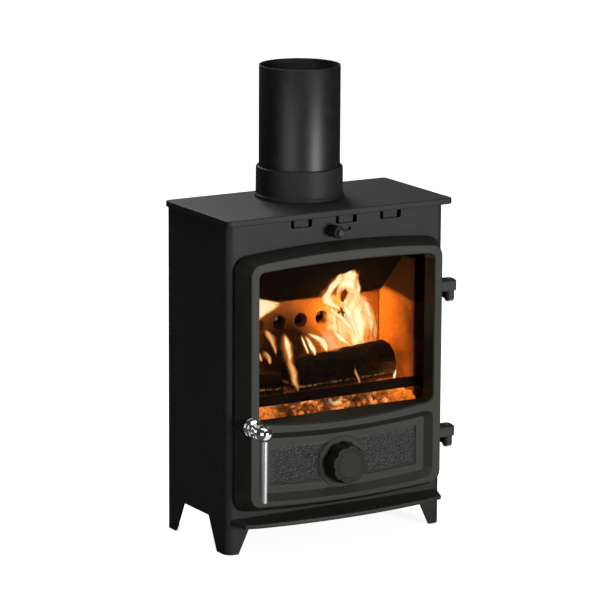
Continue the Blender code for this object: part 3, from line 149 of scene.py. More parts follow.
def material(name, **sockets):
    """New material and its Principled shader, with the constant values set on it."""
    mat = bpy.data.materials.new(name)
    mat.use_nodes = True
    shader = mat.node_tree.nodes["Principled BSDF"]
    for key, value in sockets.items():
        shader.inputs[key.replace("_", " ")].default_value = value
    return mat, shader


def link(mat, source, shader, socket):
    mat.node_tree.links.new(source, shader.inputs[socket])


def place_in(tree):
    return node(tree, "ShaderNodeTexCoord").outputs["Object"]


def noisy(tree, vector, scale, detail, **more):
    """Cloudy noise, with further inputs such as roughness and distortion by name."""
    values = {"Vector": vector, "Scale": scale, "Detail": detail}
    values.update((key.capitalize(), value) for key, value in more.items())
    return node(tree, "ShaderNodeTexNoise", values).outputs["Fac"]


def cells(tree, vector, scale, **settings):
    """Distance from a pattern of cells, to their points unless a feature says otherwise."""
    return node(tree, "ShaderNodeTexVoronoi", {"Vector": vector, "Scale": scale}, **settings).outputs["Distance"]


def split_up(tree, vector):
    return node(tree, "ShaderNodeSeparateXYZ", {"Vector": vector}).outputs


def bumpy(mat, shader, height, distance, **settings):
    bump = node(mat.node_tree, "ShaderNodeBump", {"Height": height, "Distance": distance, "Strength": 1.0}, **settings)
    link(mat, bump.outputs["Normal"], shader, "Normal")


COLOUR, NUMBER, VECTOR = "NodeSocketColor", "NodeSocketFloat", "NodeSocketVector"

# Painted surface: fine grain, slow changes of tone and sheen, dust on what faces up
paint, paint_in, paint_out = group("paint_skin", [
    ("Colour", COLOUR, (0.05, 0.05, 0.05, 1)), ("Second Colour", COLOUR, (0.06, 0.06, 0.06, 1)),
    ("Grain Size", NUMBER, 0.001), ("Grain Depth", NUMBER, 0.0001), ("Roughness", NUMBER, 0.6),
    ("Dust", NUMBER, 0.1)], [("Colour", COLOUR), ("Roughness", NUMBER), ("Normal", VECTOR)])
place = place_in(paint)
fine = noisy(paint, place, calc(paint, "DIVIDE", 1.0, paint_in["Grain Size"]), 3.0, roughness=0.6)
pits = cells(paint, place, calc(paint, "DIVIDE", 0.35, paint_in["Grain Size"]), feature="SMOOTH_F1")
slow = noisy(paint, place, 11.0, 5.0)
middle = noisy(paint, place, 75.0, 4.0)
tone = blend(paint, remap(paint, slow, 0.35, 0.65), paint_in["Colour"], paint_in["Second Colour"])
tone = blend(paint, calc(paint, "MULTIPLY", remap(paint, middle, 0.45, 0.8), 0.12), tone, (0.07, 0.068, 0.064, 1))
up = split_up(paint, node(paint, "ShaderNodeNewGeometry").outputs["Normal"])["Z"]
dusty = calc(paint, "MULTIPLY", remap(paint, middle, 0.3, 0.75), paint_in["Dust"])
dusty = calc(paint, "MULTIPLY", remap(paint, up, 0.6, 1.0), dusty)
tone = blend(paint, dusty, tone, (0.15, 0.145, 0.14, 1))
paint.links.new(tone, paint_out["Colour"])
gloss = calc(paint, "ADD", paint_in["Roughness"], remap(paint, middle, 0.2, 0.8, -0.05, 0.05))
gloss = calc(paint, "ADD", gloss, remap(paint, fine, 0.3, 0.7, -0.03, 0.03))
paint.links.new(gloss, paint_out["Roughness"])
height = calc(paint, "SUBTRACT", fine, calc(paint, "MULTIPLY", pits, 0.7))
bump = node(paint, "ShaderNodeBump", {"Height": height, "Distance": paint_in["Grain Depth"], "Strength": 1.0})
paint.links.new(bump.outputs["Normal"], paint_out["Normal"])

# Soot and painted shade on what stands in the fire: darker from a height upwards, from a depth forwards, and in a
# smoky, shaded patch round a point
soot, soot_in, soot_out = group("soot_and_shade_cover", [
    ("Colour", COLOUR, (0.5, 0.4, 0.3, 1)), ("Low", NUMBER, 0.2), ("High", NUMBER, 0.4), ("Back", NUMBER, 0.02),
    ("Front", NUMBER, -0.05), ("Patch", VECTOR, (0, 0, 0)), ("Patch Radius", NUMBER, 0.04)], [("Colour", COLOUR)])
place = place_in(soot)
cloud = noisy(soot, place, 16.0, 5.0, roughness=0.6)
waver = calc(soot, "MULTIPLY", calc(soot, "SUBTRACT", cloud, 0.5), 0.9)
spread = split_up(soot, place)
slanted = calc(soot, "SUBTRACT", spread["Z"], calc(soot, "MULTIPLY", spread["Y"], 0.12))
upwards = remap(soot, slanted, soot_in["Low"], soot_in["High"], 0.0, 1.6)
forwards = remap(soot, spread["Y"], soot_in["Back"], soot_in["Front"])
reach = node(soot, "ShaderNodeVectorMath", {0: place, 1: soot_in["Patch"]}, operation="DISTANCE").outputs["Value"]
patch = calc(soot, "SUBTRACT", 1.0, calc(soot, "DIVIDE", reach, soot_in["Patch Radius"]))
most = calc(soot, "MAXIMUM", calc(soot, "MAXIMUM", upwards, forwards), calc(soot, "MULTIPLY", patch, 1.6))
waver = calc(soot, "MULTIPLY", waver, calc(soot, "MINIMUM", calc(soot, "MULTIPLY", most, 2.0), 1.0))
cover = node(soot, "ShaderNodeClamp", {"Value": calc(soot, "ADD", most, waver)}).outputs["Result"]
soot_and_shade_black = (0.005, 0.0026, 0.0018, 1)
soot.links.new(blend(soot, calc(soot, "MULTIPLY", cover, 0.97), soot_in["Colour"], soot_and_shade_black), soot_out["Colour"])


def painted(name, colour, second, size, depth, rough, dust, **sockets):
    mat, shader = material(name, **sockets)
    made = use(mat, paint, {"Colour": (*colour, 1), "Second Colour": (*second, 1), "Grain Size": size,
                            "Grain Depth": depth, "Roughness": rough, "Dust": dust})
    link(mat, made["Colour"], shader, "Base Color")
    link(mat, made["Roughness"], shader, "Roughness")
    link(mat, made["Normal"], shader, "Normal")
    return mat


def base_colour(mat):
    """What feeds the material's Base Color."""
    return mat.node_tree.nodes["Principled BSDF"].inputs["Base Color"].links[0].from_socket


stove_paint = painted("matt_stove_paint", (0.021, 0.0215, 0.021), (0.026, 0.0265, 0.0255), 0.0006, 0.00004,
                      0.55, 0.10, Specular_IOR_Level=0.3)

# Painted shade: castings are darker on slopes that don't face the front, above the foot of the lower panel, standing in
# for the shade in the door's recesses
cast_paint = painted("painted_casting", (0.0285, 0.0298, 0.0222), (0.034, 0.0352, 0.0262), 0.0009, 0.00010,
                     0.50, 0.08, Specular_IOR_Level=0.35)
tree = cast_paint.node_tree
facing = split_up(tree, node(tree, "ShaderNodeTexCoord").outputs["Normal"])["Y"]
shaded_slopes = remap(tree, calc(tree, "ABSOLUTE", facing), 0.93, 0.80)
shaded_slopes = calc(tree, "MULTIPLY", shaded_slopes, remap(tree, split_up(tree, place_in(tree))["Z"], 0.098, 0.108))
dark = blend(tree, calc(tree, "MULTIPLY", shaded_slopes, 0.45), base_colour(cast_paint), (0.003, 0.0034, 0.0024, 1))
link(cast_paint, dark, tree.nodes["Principled BSDF"], "Base Color")

# Painted shade: the leather-grained fields are darker between their pebbles, standing in for the shade in the creases
grain_paint = painted("leather_grained_casting", (0.0205, 0.0217, 0.0180), (0.0245, 0.0257, 0.0212), 0.0009, 0.00006,
                      0.42, 0.08, Specular_IOR_Level=0.32)
tree = grain_paint.node_tree
pebbled = remap(tree, node(tree, "ShaderNodeAttribute", attribute_name="grain").outputs["Fac"], 0.0, 0.75)
dark = blend(tree, pebbled, (0.0098, 0.0104, 0.0086, 1), base_colour(grain_paint))
link(grain_paint, dark, tree.nodes["Principled BSDF"], "Base Color")

wheel_paint = painted("painted_wheel", (0.020, 0.021, 0.0185), (0.025, 0.026, 0.0225), 0.0009, 0.00012,
                      0.55, 0.08, Specular_IOR_Level=0.25)
flue_paint = painted("satin_flue_enamel", (0.010, 0.010, 0.010), (0.013, 0.013, 0.013), 0.0009, 0.00002, 0.41, 0.02)
fire_iron = painted("scaled_fire_iron", (0.006, 0.0034, 0.0028), (0.012, 0.0066, 0.0052), 0.0016, 0.00020,
                    0.8, 0.03, Specular_IOR_Level=0.1)
sooted_iron = painted("sooted_plate", (0.0010, 0.0006, 0.0005), (0.0022, 0.0012, 0.0009), 0.0016, 0.00020,
                      0.9, 0.0, Specular_IOR_Level=0.03)
pan_sheet = painted("ash_pan_sheet", (0.085, 0.083, 0.080), (0.12, 0.115, 0.11), 0.0012, 0.00005,
                    0.5, 0.3, Metallic=0.6)


def metal(name, colour, rough, streak, scratch):
    """Bare metal with fine drawn lines along the object's Z and slight smears."""
    mat, shader = material(name, Metallic=1.0)
    tree = mat.node_tree
    place = place_in(tree)
    lines = node(tree, "ShaderNodeMapping", {"Vector": place, "Scale": streak}).outputs["Vector"]
    drawn = noisy(tree, lines, 1.0, 4.0)
    smear = remap(tree, noisy(tree, place, 60.0, 4.0), 0.4, 0.8, 0.0, rough * 0.5)
    dark = tuple(c * 0.86 for c in colour)
    link(mat, blend(tree, remap(tree, drawn, 0.3, 0.7), (*colour, 1), (*dark, 1)), shader, "Base Color")
    value = calc(tree, "ADD", remap(tree, drawn, 0.3, 0.7, rough * 0.8, rough * 1.2), smear)
    link(mat, value, shader, "Roughness")
    bumpy(mat, shader, drawn, scratch)
    return mat


polished = metal("polished_chrome", (0.86, 0.86, 0.87), 0.03, (400, 400, 400), 0.0)
satin = metal("satin_steel_bar", (0.62, 0.62, 0.63), 0.34, (1500, 1500, 60), 0.0000002)
zinc = metal("zinc_plated_screw", (0.48, 0.48, 0.46), 0.38, (900, 900, 900), 0.000004)

pane, shader = material("stove_glass", Roughness=0.0, IOR=1.08, Transmission_Weight=1.0)
tree = pane.node_tree
film = remap(tree, noisy(tree, place_in(tree), 14.0, 6.0), 0.4, 0.75)
link(pane, blend(tree, film, (0.87, 0.76, 0.64, 1), (0.80, 0.67, 0.54, 1)), shader, "Base Color")

rope, shader = material("seal_rope_weave", Roughness=0.95)
tree = rope.node_tree
weave = cells(tree, place_in(tree), 900.0)
link(rope, blend(tree, weave, (0.016, 0.016, 0.015, 1), (0.06, 0.058, 0.055, 1)), shader, "Base Color")
bumpy(rope, shader, weave, 0.0004, invert=True)


def brick_board(name, low, high, back, front, patch, radius):
    """Flecked fire brick with its soot and painted shade."""
    mat, shader = material(name, Roughness=0.92, Specular_IOR_Level=0.2)
    tree = mat.node_tree
    place = place_in(tree)
    flakes = cells(tree, place, 380.0)
    grain = noisy(tree, place, 150.0, 6.0)
    fleck = blend(tree, remap(tree, flakes, 0.1, 0.7), (0.40, 0.185, 0.050, 1), (0.30, 0.130, 0.034, 1))
    fleck = blend(tree, remap(tree, grain, 0.55, 0.75), fleck, (0.48, 0.26, 0.09, 1))
    covered = use(mat, soot, {"Colour": fleck, "Low": low, "High": high, "Back": back, "Front": front,
                              "Patch": patch, "Patch Radius": radius})
    link(mat, covered["Colour"], shader, "Base Color")
    bumpy(mat, shader, calc(tree, "ADD", grain, flakes), 0.0005)
    return mat


# The rear brick's smoky patch round a point low down is soot and painted shade
rear_brick = brick_board("rear_fire_brick_board", 0.335, 0.380, 0.1055, 0.1075, at(-14, 60, 276), 0.088)
# The side bricks darken towards the front and the top with soot and painted shade; they have no smoky patch, so its
# place is far below them
side_brick = brick_board("side_fire_brick_board", 0.346, 0.364, 0.080, -0.034, at(0, 0, -500), 0.01)

# The fire's own two materials get their patterns further down
charred, charred_shader = material("charred_log", Roughness=0.9, Specular_IOR_Level=0.15, Emission_Strength=1.3)
coal, coal_shader = material("glowing_coal_and_ash", Roughness=0.95, Specular_IOR_Level=0.2, Emission_Strength=1.1)
looks = {"charred_wood": charred, "embers": coal, "stove_black": stove_paint, "cast_black": cast_paint,
         "flue_enamel": flue_paint, "dark_iron": fire_iron, "chrome": polished, "satin_steel": satin,
         "zinc_screw": zinc, "stove_glass": pane, "seal_rope": rope, "fire_brick": side_brick,
         "pan_steel": pan_sheet}
finish_of = {part["node"]: part["material_slot"] for part in frame["record"]["subparts"]}
for name, slot_name in finish_of.items():
    mesh = nodes[name].data
    mesh.materials.clear()
    mesh.materials.append(looks[slot_name])

# ---------------------------------------------------------------- modelling helpers


def placed(name, data):
    """New object in the scene."""
    ob = bpy.data.objects.new(name, data)
    bpy.context.scene.collection.objects.link(ob)
    return ob


def put_in_order(bm):
    """Sort corners and faces by place, because Blender's own order of them changes from run to run."""
    for elements, where in ((bm.verts, lambda v: v.co[:]), (bm.faces, lambda f: f.calc_center_median()[:])):
        rank = {e: i for i, e in enumerate(sorted(elements, key=where))}
        elements.sort(key=rank.get)


def piece(name, bm, mat, body, slot_name, *replaced, smooth=35, even=False):
    """Object from a finished bmesh, riding on its body."""
    put_in_order(bm)
    mesh = bpy.data.meshes.new(name)
    bm.to_mesh(mesh)
    bm.free()
    mesh.materials.append(mat)
    mesh.shade_smooth()
    mesh.set_sharp_from_angle(angle=math.radians(smooth))
    ob = placed(name, mesh)
    if even:
        ob.modifiers.new("even_shading", "WEIGHTED_NORMAL").keep_sharp = True
    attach(ob, body)
    if replaced:
        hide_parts(*replaced)
    return ob


def refined(name, width, mat=None):
    """The node's own shape as one smooth skin, its edges rounded by a width in millimetres."""
    bm = bmesh.new()
    bm.from_mesh(nodes[name].data)
    bmesh.ops.remove_doubles(bm, verts=bm.verts[:], dist=1e-6)
    bmesh.ops.dissolve_limit(bm, angle_limit=math.radians(0.3), use_dissolve_boundaries=False,
                             verts=bm.verts[:], edges=bm.edges[:])
    edges = [e for e in bm.edges if e.is_manifold and e.calc_face_angle(0) > math.radians(30)]
    bmesh.ops.bevel(bm, geom=edges, offset=width / 1000, offset_type="OFFSET", segments=2, profile=0.5,
                    affect="EDGES", clamp_overlap=True, material=-1)
    slot_name = finish_of[name]
    return piece(name + "_finished", bm, mat or looks[slot_name], nodes[name]["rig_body"], slot_name, name,
                 smooth=40, even=True)


def lathe(profile, centre, axis, steps=64, closed=False):
    """Turned shape from (radius, height) pairs in millimetres, heights measured from the centre along the axis."""
    bm = bmesh.new()
    along = Vector(axis)
    side = along.orthogonal().normalized()
    verts = [bm.verts.new(centre + side * r / 1000 + along * h / 1000) for r, h in profile]
    edges = [bm.edges.new(pair) for pair in zip(verts, verts[1:])]
    if closed:
        edges.append(bm.edges.new((verts[-1], verts[0])))
    bmesh.ops.spin(bm, geom=verts + edges, cent=centre, axis=along, angle=2 * math.pi, steps=steps,
                   use_merge=True, use_duplicate=False)
    bmesh.ops.remove_doubles(bm, verts=bm.verts[:], dist=1e-6)
    bmesh.ops.recalc_face_normals(bm, faces=bm.faces[:])
    return bm


def eased(profile, rounds=2, share=0.25):
    """The same profile with its corners cut, for turned beads and fillets."""
    for _ in range(rounds):
        cut = [profile[0]]
        for a, b in zip(profile, profile[1:]):
            cut.append(tuple(p + (q - p) * share for p, q in zip(a, b)))
            cut.append(tuple(q + (p - q) * share for p, q in zip(a, b)))
        profile = cut + [profile[-1]]
    return profile


def close_below(bm, axis, level):
    """Walls from a sheet's open rim to one level along an axis, and a bottom that closes them."""
    rim = [e for e in bm.edges if e.is_boundary]
    skirt = bmesh.ops.extrude_edge_only(bm, edges=rim)["geom"]
    for v in skirt:
        if isinstance(v, bmesh.types.BMVert):
            v.co[axis] = level
    rim = [e for e in skirt if isinstance(e, bmesh.types.BMEdge) and e.is_boundary]
    bmesh.ops.edgeloop_fill(bm, edges=rim)


def socket_screw(name, at_head, axis, head_r, head_tall, shank_r, shank_long, *replaced):
    """Cap screw with a six-sided socket. The axis points out of the head; at_head is the head's seat."""
    along = Vector(axis)
    ease = 0.12 * head_tall
    bm = lathe([(0, -shank_long), (shank_r * 0.8, -shank_long), (shank_r, -shank_long + shank_r * 0.3), (shank_r, 0),
                (head_r, 0), (head_r, head_tall - 3 * ease), (head_r - ease * 0.8, head_tall - ease),
                (head_r - 3 * ease, head_tall), (head_r * 0.62, head_tall)], at_head, axis, 24)
    rim = [e for e in bm.edges if e.is_boundary]
    turn = Vector((0, 0, 1)).rotation_difference(along).to_matrix().to_4x4()
    seat = Matrix.Translation(at_head + along * head_tall / 1000) @ turn
    hexagon = bmesh.ops.create_circle(bm, segments=6, radius=head_r * 0.56 / 1000, matrix=seat)["verts"]
    sides = list({e for v in hexagon for e in v.link_edges})
    bmesh.ops.subdivide_edges(bm, edges=sides, cuts=3)
    socket = [e for e in bm.edges if e.is_boundary or not e.link_faces]
    socket = [e for e in socket if e not in rim]
    bmesh.ops.bridge_loops(bm, edges=rim + socket)
    sunk = bmesh.ops.extrude_edge_only(bm, edges=socket)["geom"]
    floor_verts = [v for v in sunk if isinstance(v, bmesh.types.BMVert)]
    bmesh.ops.translate(bm, vec=-along * head_tall * 0.6 / 1000, verts=floor_verts)
    bmesh.ops.edgeloop_fill(bm, edges=[e for e in sunk if isinstance(e, bmesh.types.BMEdge)])
    bmesh.ops.recalc_face_normals(bm, faces=bm.faces[:])
    return piece(name, bm, zinc, "casing", "zinc_screw", *replaced)


# ---------------------------------------------------------------- pieces that keep their solid's shape
own_looks = {"rear_fire_brick": rear_brick, "throat_plate": sooted_iron, "air_deflector": sooted_iron,
             "airwash_slide": stove_paint}
for name, width in (("outer_casing", 0.35), ("back_panel", 0.3), ("top_plate", 0.6), ("ash_lip", 0.6),
                    ("door_casting", 0.5), ("hinge_bracket_upper", 0.8), ("hinge_bracket_lower", 0.8),
                    ("log_guard", 0.3), ("throat_plate", 0.3), ("air_deflector", 0.3), ("latch_cam", 0.4),
                    ("airwash_slide", 0.25), ("ash_pan", 0.3), ("ash_pan_handle", 0.5), ("base_plate", 0.3),
                    ("left_fire_brick", 0.5), ("right_fire_brick", 0.5), ("rear_fire_brick", 0.8)):
    refined(name, width, mat=own_looks.get(name))

# ---------------------------------------------------------------- collar and pipe
pipe_axis = at(0, 21.5, 0)
piece("flue_pipe_finished", lathe(
    [(61.5, 533.6), (63.3, 533.6), (63.5, 533.8), (63.5, 734.6), (63.3, 734.9), (63.0, 735.0), (62.0, 735.0),
     (61.7, 734.9), (61.5, 734.6)], pipe_axis, (0, 0, 1), 144, closed=True),
    flue_paint, "casing", "flue_enamel", "flue_pipe")
piece("flue_collar_finished", lathe(
    [(59.0, 528.3), (69.6, 528.3), (70.1, 528.7), (70.1, 532.8), (69.7, 533.4), (68.9, 533.8), (68.5, 534.4),
     (68.3, 535.4), (68.0, 573.8), (67.8, 575.2), (67.2, 576.3), (66.4, 576.9), (65.6, 577.0), (64.6, 577.0),
     (64.0, 576.7), (63.8, 576.2), (63.8, 533.3), (59.0, 533.3)], pipe_axis, (0, 0, 1), 144, closed=True),
    stove_paint, "casing", "stove_black", "flue_collar")

# ---------------------------------------------------------------- door handle
handle_axis = at(-171, 0, 209.5)
ball_y, ball_r = -167, 12.2
boss = [(0, -77.4), (3.6, -77.4), (4, -77.8), (4, -90.4), (5, -90.4), (5, -129.9), (14.6, -129.9)]
boss += eased([(14.6, -129.9), (15.5, -130.6), (15.4, -132.2), (13.2, -132.9), (13.5, -133.8), (14.9, -134.6),
               (14.95, -139.9), (13.8, -141.7), (10.2, -142.3), (7.6, -143.4), (6.8, -146.4), (6.8, -150.8),
               (8.2, -152.6), (10.4, -153.5), (11.3, -154.3), (11.2, -155.6), (10.0, -156.4), (8.4, -156.9)])[1:]
for i in range(1, 32):
    turn = math.radians(46 + 134 * i / 31)
    boss.append((max(ball_r * math.sin(turn), 0.0), ball_y + ball_r * math.cos(turn)))
bm = lathe(boss, handle_axis, (0, 1, 0), 96)
# From the neck outwards the ball hangs a little lower and is a little wider than it is long
for v in bm.verts:
    out = min(max((at(0, -147, 0).y - v.co.y) / 0.005, 0.0), 1.0)
    v.co.x += (v.co.x - handle_axis.x) * 0.05 * out
    v.co.z += (v.co.z - handle_axis.z) * 0.05 * out - 0.0026 * out
piece("handle_boss_turned", bm, polished, "handle", "chrome", "handle_boss", smooth=50)
grip = [(0, 200.0), (4.6, 200.0), (4.6, 198.4)] + eased([(4.6, 198.4), (5.7, 197.7), (5.8, 196.0)])[1:]
grip += [(5.2, 100.6)] + eased([(5.2, 100.6), (5.1, 99.0), (3.4, 98.7)])[1:] + [(0, 98.7)]
piece("handle_grip_turned", lathe(grip, at(-171, ball_y, 0), (0, 0, 1), 64), satin, "handle", "satin_steel",
      "handle_grip")

# ---------------------------------------------------------------- top air knob
knob = [(0, -86.0), (4.1, -86.0), (4.1, -88.2), (2.3, -88.2), (2.3, -98.5), (8.4, -98.5)]
knob += eased([(8.4, -98.5), (9.8, -98.8), (9.8, -101.0), (9.3, -102.4), (9.3, -104.6), (9.8, -106.0),
               (9.8, -116.6), (9.2, -118.6), (7.6, -119.9), (6.6, -120.3), (6.0, -121.2), (5.9, -123.2),
               (5.0, -124.5), (3.0, -124.4)])[1:]
piece("airwash_knob_turned", lathe(knob + [(0, -124.3)], at(-10.5, 0, 494), (0, 1, 0), 48), cast_paint,
      "air_slide", "cast_black", "airwash_knob")

# ---------------------------------------------------------------- screw air wheel with eight lobes
lobes, lobe_dip, lobe_from = 8, 0.0028, 0.0235
wheel_x, wheel_z = -4, 132
wheel_axis = at(wheel_x, 0, wheel_z)
wheel = [(0, -141.6), (5.6, -141.6), (5.6, -128.3), (11.5, -128.3), (11.5, -125.1), (31.4, -125.1)]
wheel += eased([(31.4, -125.1), (32.9, -125.2), (33.0, -126.6), (30.6, -143.2), (29.9, -145.2), (27.6, -145.6)])[1:]
wheel += eased([(27.6, -145.6), (25.2, -145.6), (24.6, -144.7), (22.6, -144.4), (21.9, -144.4), (21.3, -145.1),
                (20.2, -145.1), (19.6, -144.5), (17.0, -144.4)])[1:] + [(0, -144.4)]
bm = lathe(wheel, wheel_axis, (0, 1, 0), 192)
for v in bm.verts:
    out = Vector((v.co.x - wheel_axis.x, 0, v.co.z - wheel_axis.z))
    if out.length > lobe_from:
        swing = math.atan2(out.z, out.x) - math.radians(101)
        dip = (0.5 + 0.5 * math.cos(lobes * swing)) ** 3
        v.co -= out.normalized() * lobe_dip * dip * min(1.0, (out.length - lobe_from) / 0.004)
bmesh.ops.recalc_face_normals(bm, faces=bm.faces[:])
piece("air_wheel_cast", bm, wheel_paint, "wheel", "cast_black", "air_wheel", smooth=50)

# ---------------------------------------------------------------- screws with sockets
for which, height in (("hinge_screw_upper", 373.45), ("hinge_screw_lower", 138.45)):
    socket_screw(which + "_cap", at(203.1, -74, height), (1, 0, 0), 5.0, 2.0, 3.0, 11.5, which)

# ---------------------------------------------------------------- leather-grained fields in the lower panel


def sag(x, bow):
    """Drop of an arc of radius bow at a distance x from its crown."""
    return bow - math.copysign(math.sqrt(bow * bow - x * x), bow)


def grained_field(side):
    """Thin cast field between the round land and the panel's end, its skin raised in leather-like pebbles."""
    land = 42.0
    low, high = math.asin(-26.5 / land), math.asin(36.0 / land)
    field_low, field_high, field_end = 105.7, 167.8, 131.5
    field_skin, field_back = -117.7, -117.45
    bottom_bow, top_bow = 1700, 1390
    bottom_end, top_end = (sag(wheel_x + side * land * math.cos(turn), bow)
                           for turn, bow in ((low, bottom_bow), (high, top_bow)))
    bm = bmesh.new()
    bmesh.ops.create_grid(bm, x_segments=132, y_segments=78, size=0.5)
    grain = bm.verts.layers.float.new("grain")
    for v in bm.verts:
        s, t = v.co.x + 0.5, v.co.y + 0.5
        turn = low + (high - low) * t
        start = wheel_x + side * land * math.cos(turn)
        x = start + (side * field_end - start) * s

        def edge(px):
            bottom = field_low + sag(px, bottom_bow) - bottom_end
            top = field_high + sag(px, top_bow) - top_end
            return bottom + (top - bottom) * t

        z = edge(x) + (wheel_z + land * math.sin(turn) - edge(start)) * (1 - s)
        rim = min(1.0, 14 * min(s, 1 - s, t * 0.6, (1 - t) * 0.6))
        drawn = x / 2.1 + 0.6 * noise.noise(Vector((x, z, 5)) / 6)
        near = noise.voronoi(Vector((drawn, z, 3.0 * side)) / 2.6)[0]
        pebble = min(1.0, 1.7 * (near[1] - near[0]))
        rough = noise.fractal(Vector((x, z, 0)) / 1.3, 0.7, 2.0, 3)
        drift = noise.noise(Vector((x, z, 9)) / 9)
        v[grain] = 0.8 * pebble + 0.25 * rough + 0.2 * drift
        v.co = at(x, field_skin - rim * (0.15 + 1.05 * pebble + 0.22 * rough + 0.15 * drift), z)
    if side > 0:
        bmesh.ops.reverse_faces(bm, faces=bm.faces[:])
    close_below(bm, 1, at(0, field_back, 0).y)
    bmesh.ops.recalc_face_normals(bm, faces=bm.faces[:])
    return bm


for name, side in (("grained_field_left", -1), ("grained_field_right", 1)):
    piece(name, grained_field(side), grain_paint, "door", "cast_black", smooth=60)

# ---------------------------------------------------------------- fire: materials
# Charred wood: near black, cracked, glowing from below and along one thin ticked seam
shader = charred_shader
tree = charred.node_tree
place = place_in(tree)
stretched = node(tree, "ShaderNodeMapping", {"Vector": place, "Scale": (0.35, 1.0, 1.0)}).outputs["Vector"]
cracks = cells(tree, stretched, 150.0, feature="DISTANCE_TO_EDGE")
fibre = noisy(tree, stretched, 240.0, 6.0, roughness=0.65)
patch = noisy(tree, place, 28.0, 4.0)
wood = blend(tree, remap(tree, patch, 0.42, 0.62), (0.006, 0.0030, 0.0020, 1), (0.018, 0.0075, 0.0040, 1))
wood = blend(tree, remap(tree, fibre, 0.52, 0.72), wood, (0.030, 0.016, 0.010, 1))
link(charred, blend(tree, remap(tree, cracks, 0.0, 0.10), (0.004, 0.0022, 0.0015, 1), wood), shader, "Base Color")
rise = split_up(tree, place)["Z"]
crack_glow = calc(tree, "MULTIPLY", remap(tree, rise, 0.2330, 0.2225),
                  remap(tree, noisy(tree, place, 210.0, 3.0), 0.46, 0.66))
glow = ramp(tree, calc(tree, "MULTIPLY", crack_glow, 0.6), [
    (0.0, (0, 0, 0)), (0.25, (0.20, 0.03, 0.004)), (0.6, (0.62, 0.22, 0.05)), (1.0, (1.0, 0.58, 0.22))])
seam_height, seam_half_width = 0.2385, 0.0022
seam = calc(tree, "ABSOLUTE", calc(tree, "SUBTRACT", rise, seam_height))
seam = calc(tree, "SUBTRACT", 1.0, calc(tree, "DIVIDE", seam, seam_half_width))
ticks = node(tree, "ShaderNodeMapping", {"Vector": place, "Scale": (1.0, 1.0, 0.25)}).outputs["Vector"]
ticks = remap(tree, noisy(tree, ticks, 330.0, 1.0), 0.50, 0.60)
dotted = calc(tree, "MULTIPLY", node(tree, "ShaderNodeClamp", {"Value": seam}).outputs["Result"], ticks)
link(charred, blend(tree, dotted, glow, (0.32, 0.20, 0.085, 1)), shader, "Emission Color")
bark = calc(tree, "ADD", remap(tree, cracks, 0.0, 0.12), calc(tree, "MULTIPLY", fibre, 0.6))
bumpy(charred, shader, bark, 0.0010)

# Coals: flaky ash over hot lumps with darker crusts between them, and a few places that are hottest
shader = coal_shader
tree = coal.node_tree
place = place_in(tree)
lumps = noisy(tree, place, 48.0, 5.0, roughness=0.6)
flaky = noisy(tree, place, 260.0, 5.0, roughness=0.7)
ashes = ramp(tree, lumps, [(0.36, (0.012, 0.008, 0.006)), (0.47, (0.10, 0.065, 0.04)), (0.60, (0.34, 0.26, 0.19))])
link(coal, blend(tree, remap(tree, flaky, 0.35, 0.7), ashes, (0.20, 0.14, 0.09, 1)), shader, "Base Color")
hot = noisy(tree, place, 36.0, 4.0, distortion=0.6)
hot = calc(tree, "ADD", hot, calc(tree, "MULTIPLY", calc(tree, "SUBTRACT", flaky, 0.5), 0.35))
sway = node(tree, "ShaderNodeCombineXYZ", {"X": calc(tree, "MULTIPLY", lumps, 0.02),
                                           "Y": calc(tree, "MULTIPLY", flaky, 0.006)}).outputs["Vector"]
wavy = node(tree, "ShaderNodeVectorMath", {0: place, 1: sway}, operation="ADD").outputs["Vector"]
crust = cells(tree, wavy, 62.0, feature="DISTANCE_TO_EDGE")
hot = calc(tree, "SUBTRACT", hot, remap(tree, crust, 0.20, 0.0, 0.0, 0.16))
glow = ramp(tree, hot, [(0.33, (0.02, 0.005, 0.001)), (0.43, (0.15, 0.04, 0.007)), (0.51, (0.60, 0.14, 0.020)),
                        (0.60, (0.92, 0.34, 0.06)), (0.70, (0.98, 0.72, 0.32))])
hottest = ((at(18, -62, 216), 0.015, (1.0, 0.74, 0.36, 1)), (at(83, -68, 216), 0.012, (0.95, 0.36, 0.16, 1)),
           (at(140, -71, 214), 0.045, (0.85, 0.21, 0.015, 1)), (at(-112, -62, 213), 0.032, (0.92, 0.26, 0.04, 1)),
           (at(98, -60, 218), 0.006, (1.0, 0.85, 0.62, 1)))
for spot, radius, tint in hottest:
    near = node(tree, "ShaderNodeVectorMath", {0: place, 1: spot}, operation="DISTANCE").outputs["Value"]
    near = calc(tree, "ADD", near, calc(tree, "MULTIPLY", flaky, radius))
    near = remap(tree, near, radius * 1.4, radius * 0.9)
    near = calc(tree, "MULTIPLY", near, remap(tree, flaky, 0.34, 0.54, 0.45, 1.0))
    near = calc(tree, "MULTIPLY", near, remap(tree, crust, 0.0, 0.10, 0.45, 1.0))
    glow = blend(tree, near, glow, tint)
# The bed's left end is cold, because it shows through the latch's notch
lit = remap(tree, split_up(tree, place)["X"], -0.146, -0.138)
link(coal, blend(tree, lit, (0, 0, 0, 1), glow), shader, "Emission Color")
bumpy(coal, shader, flaky, 0.0010)


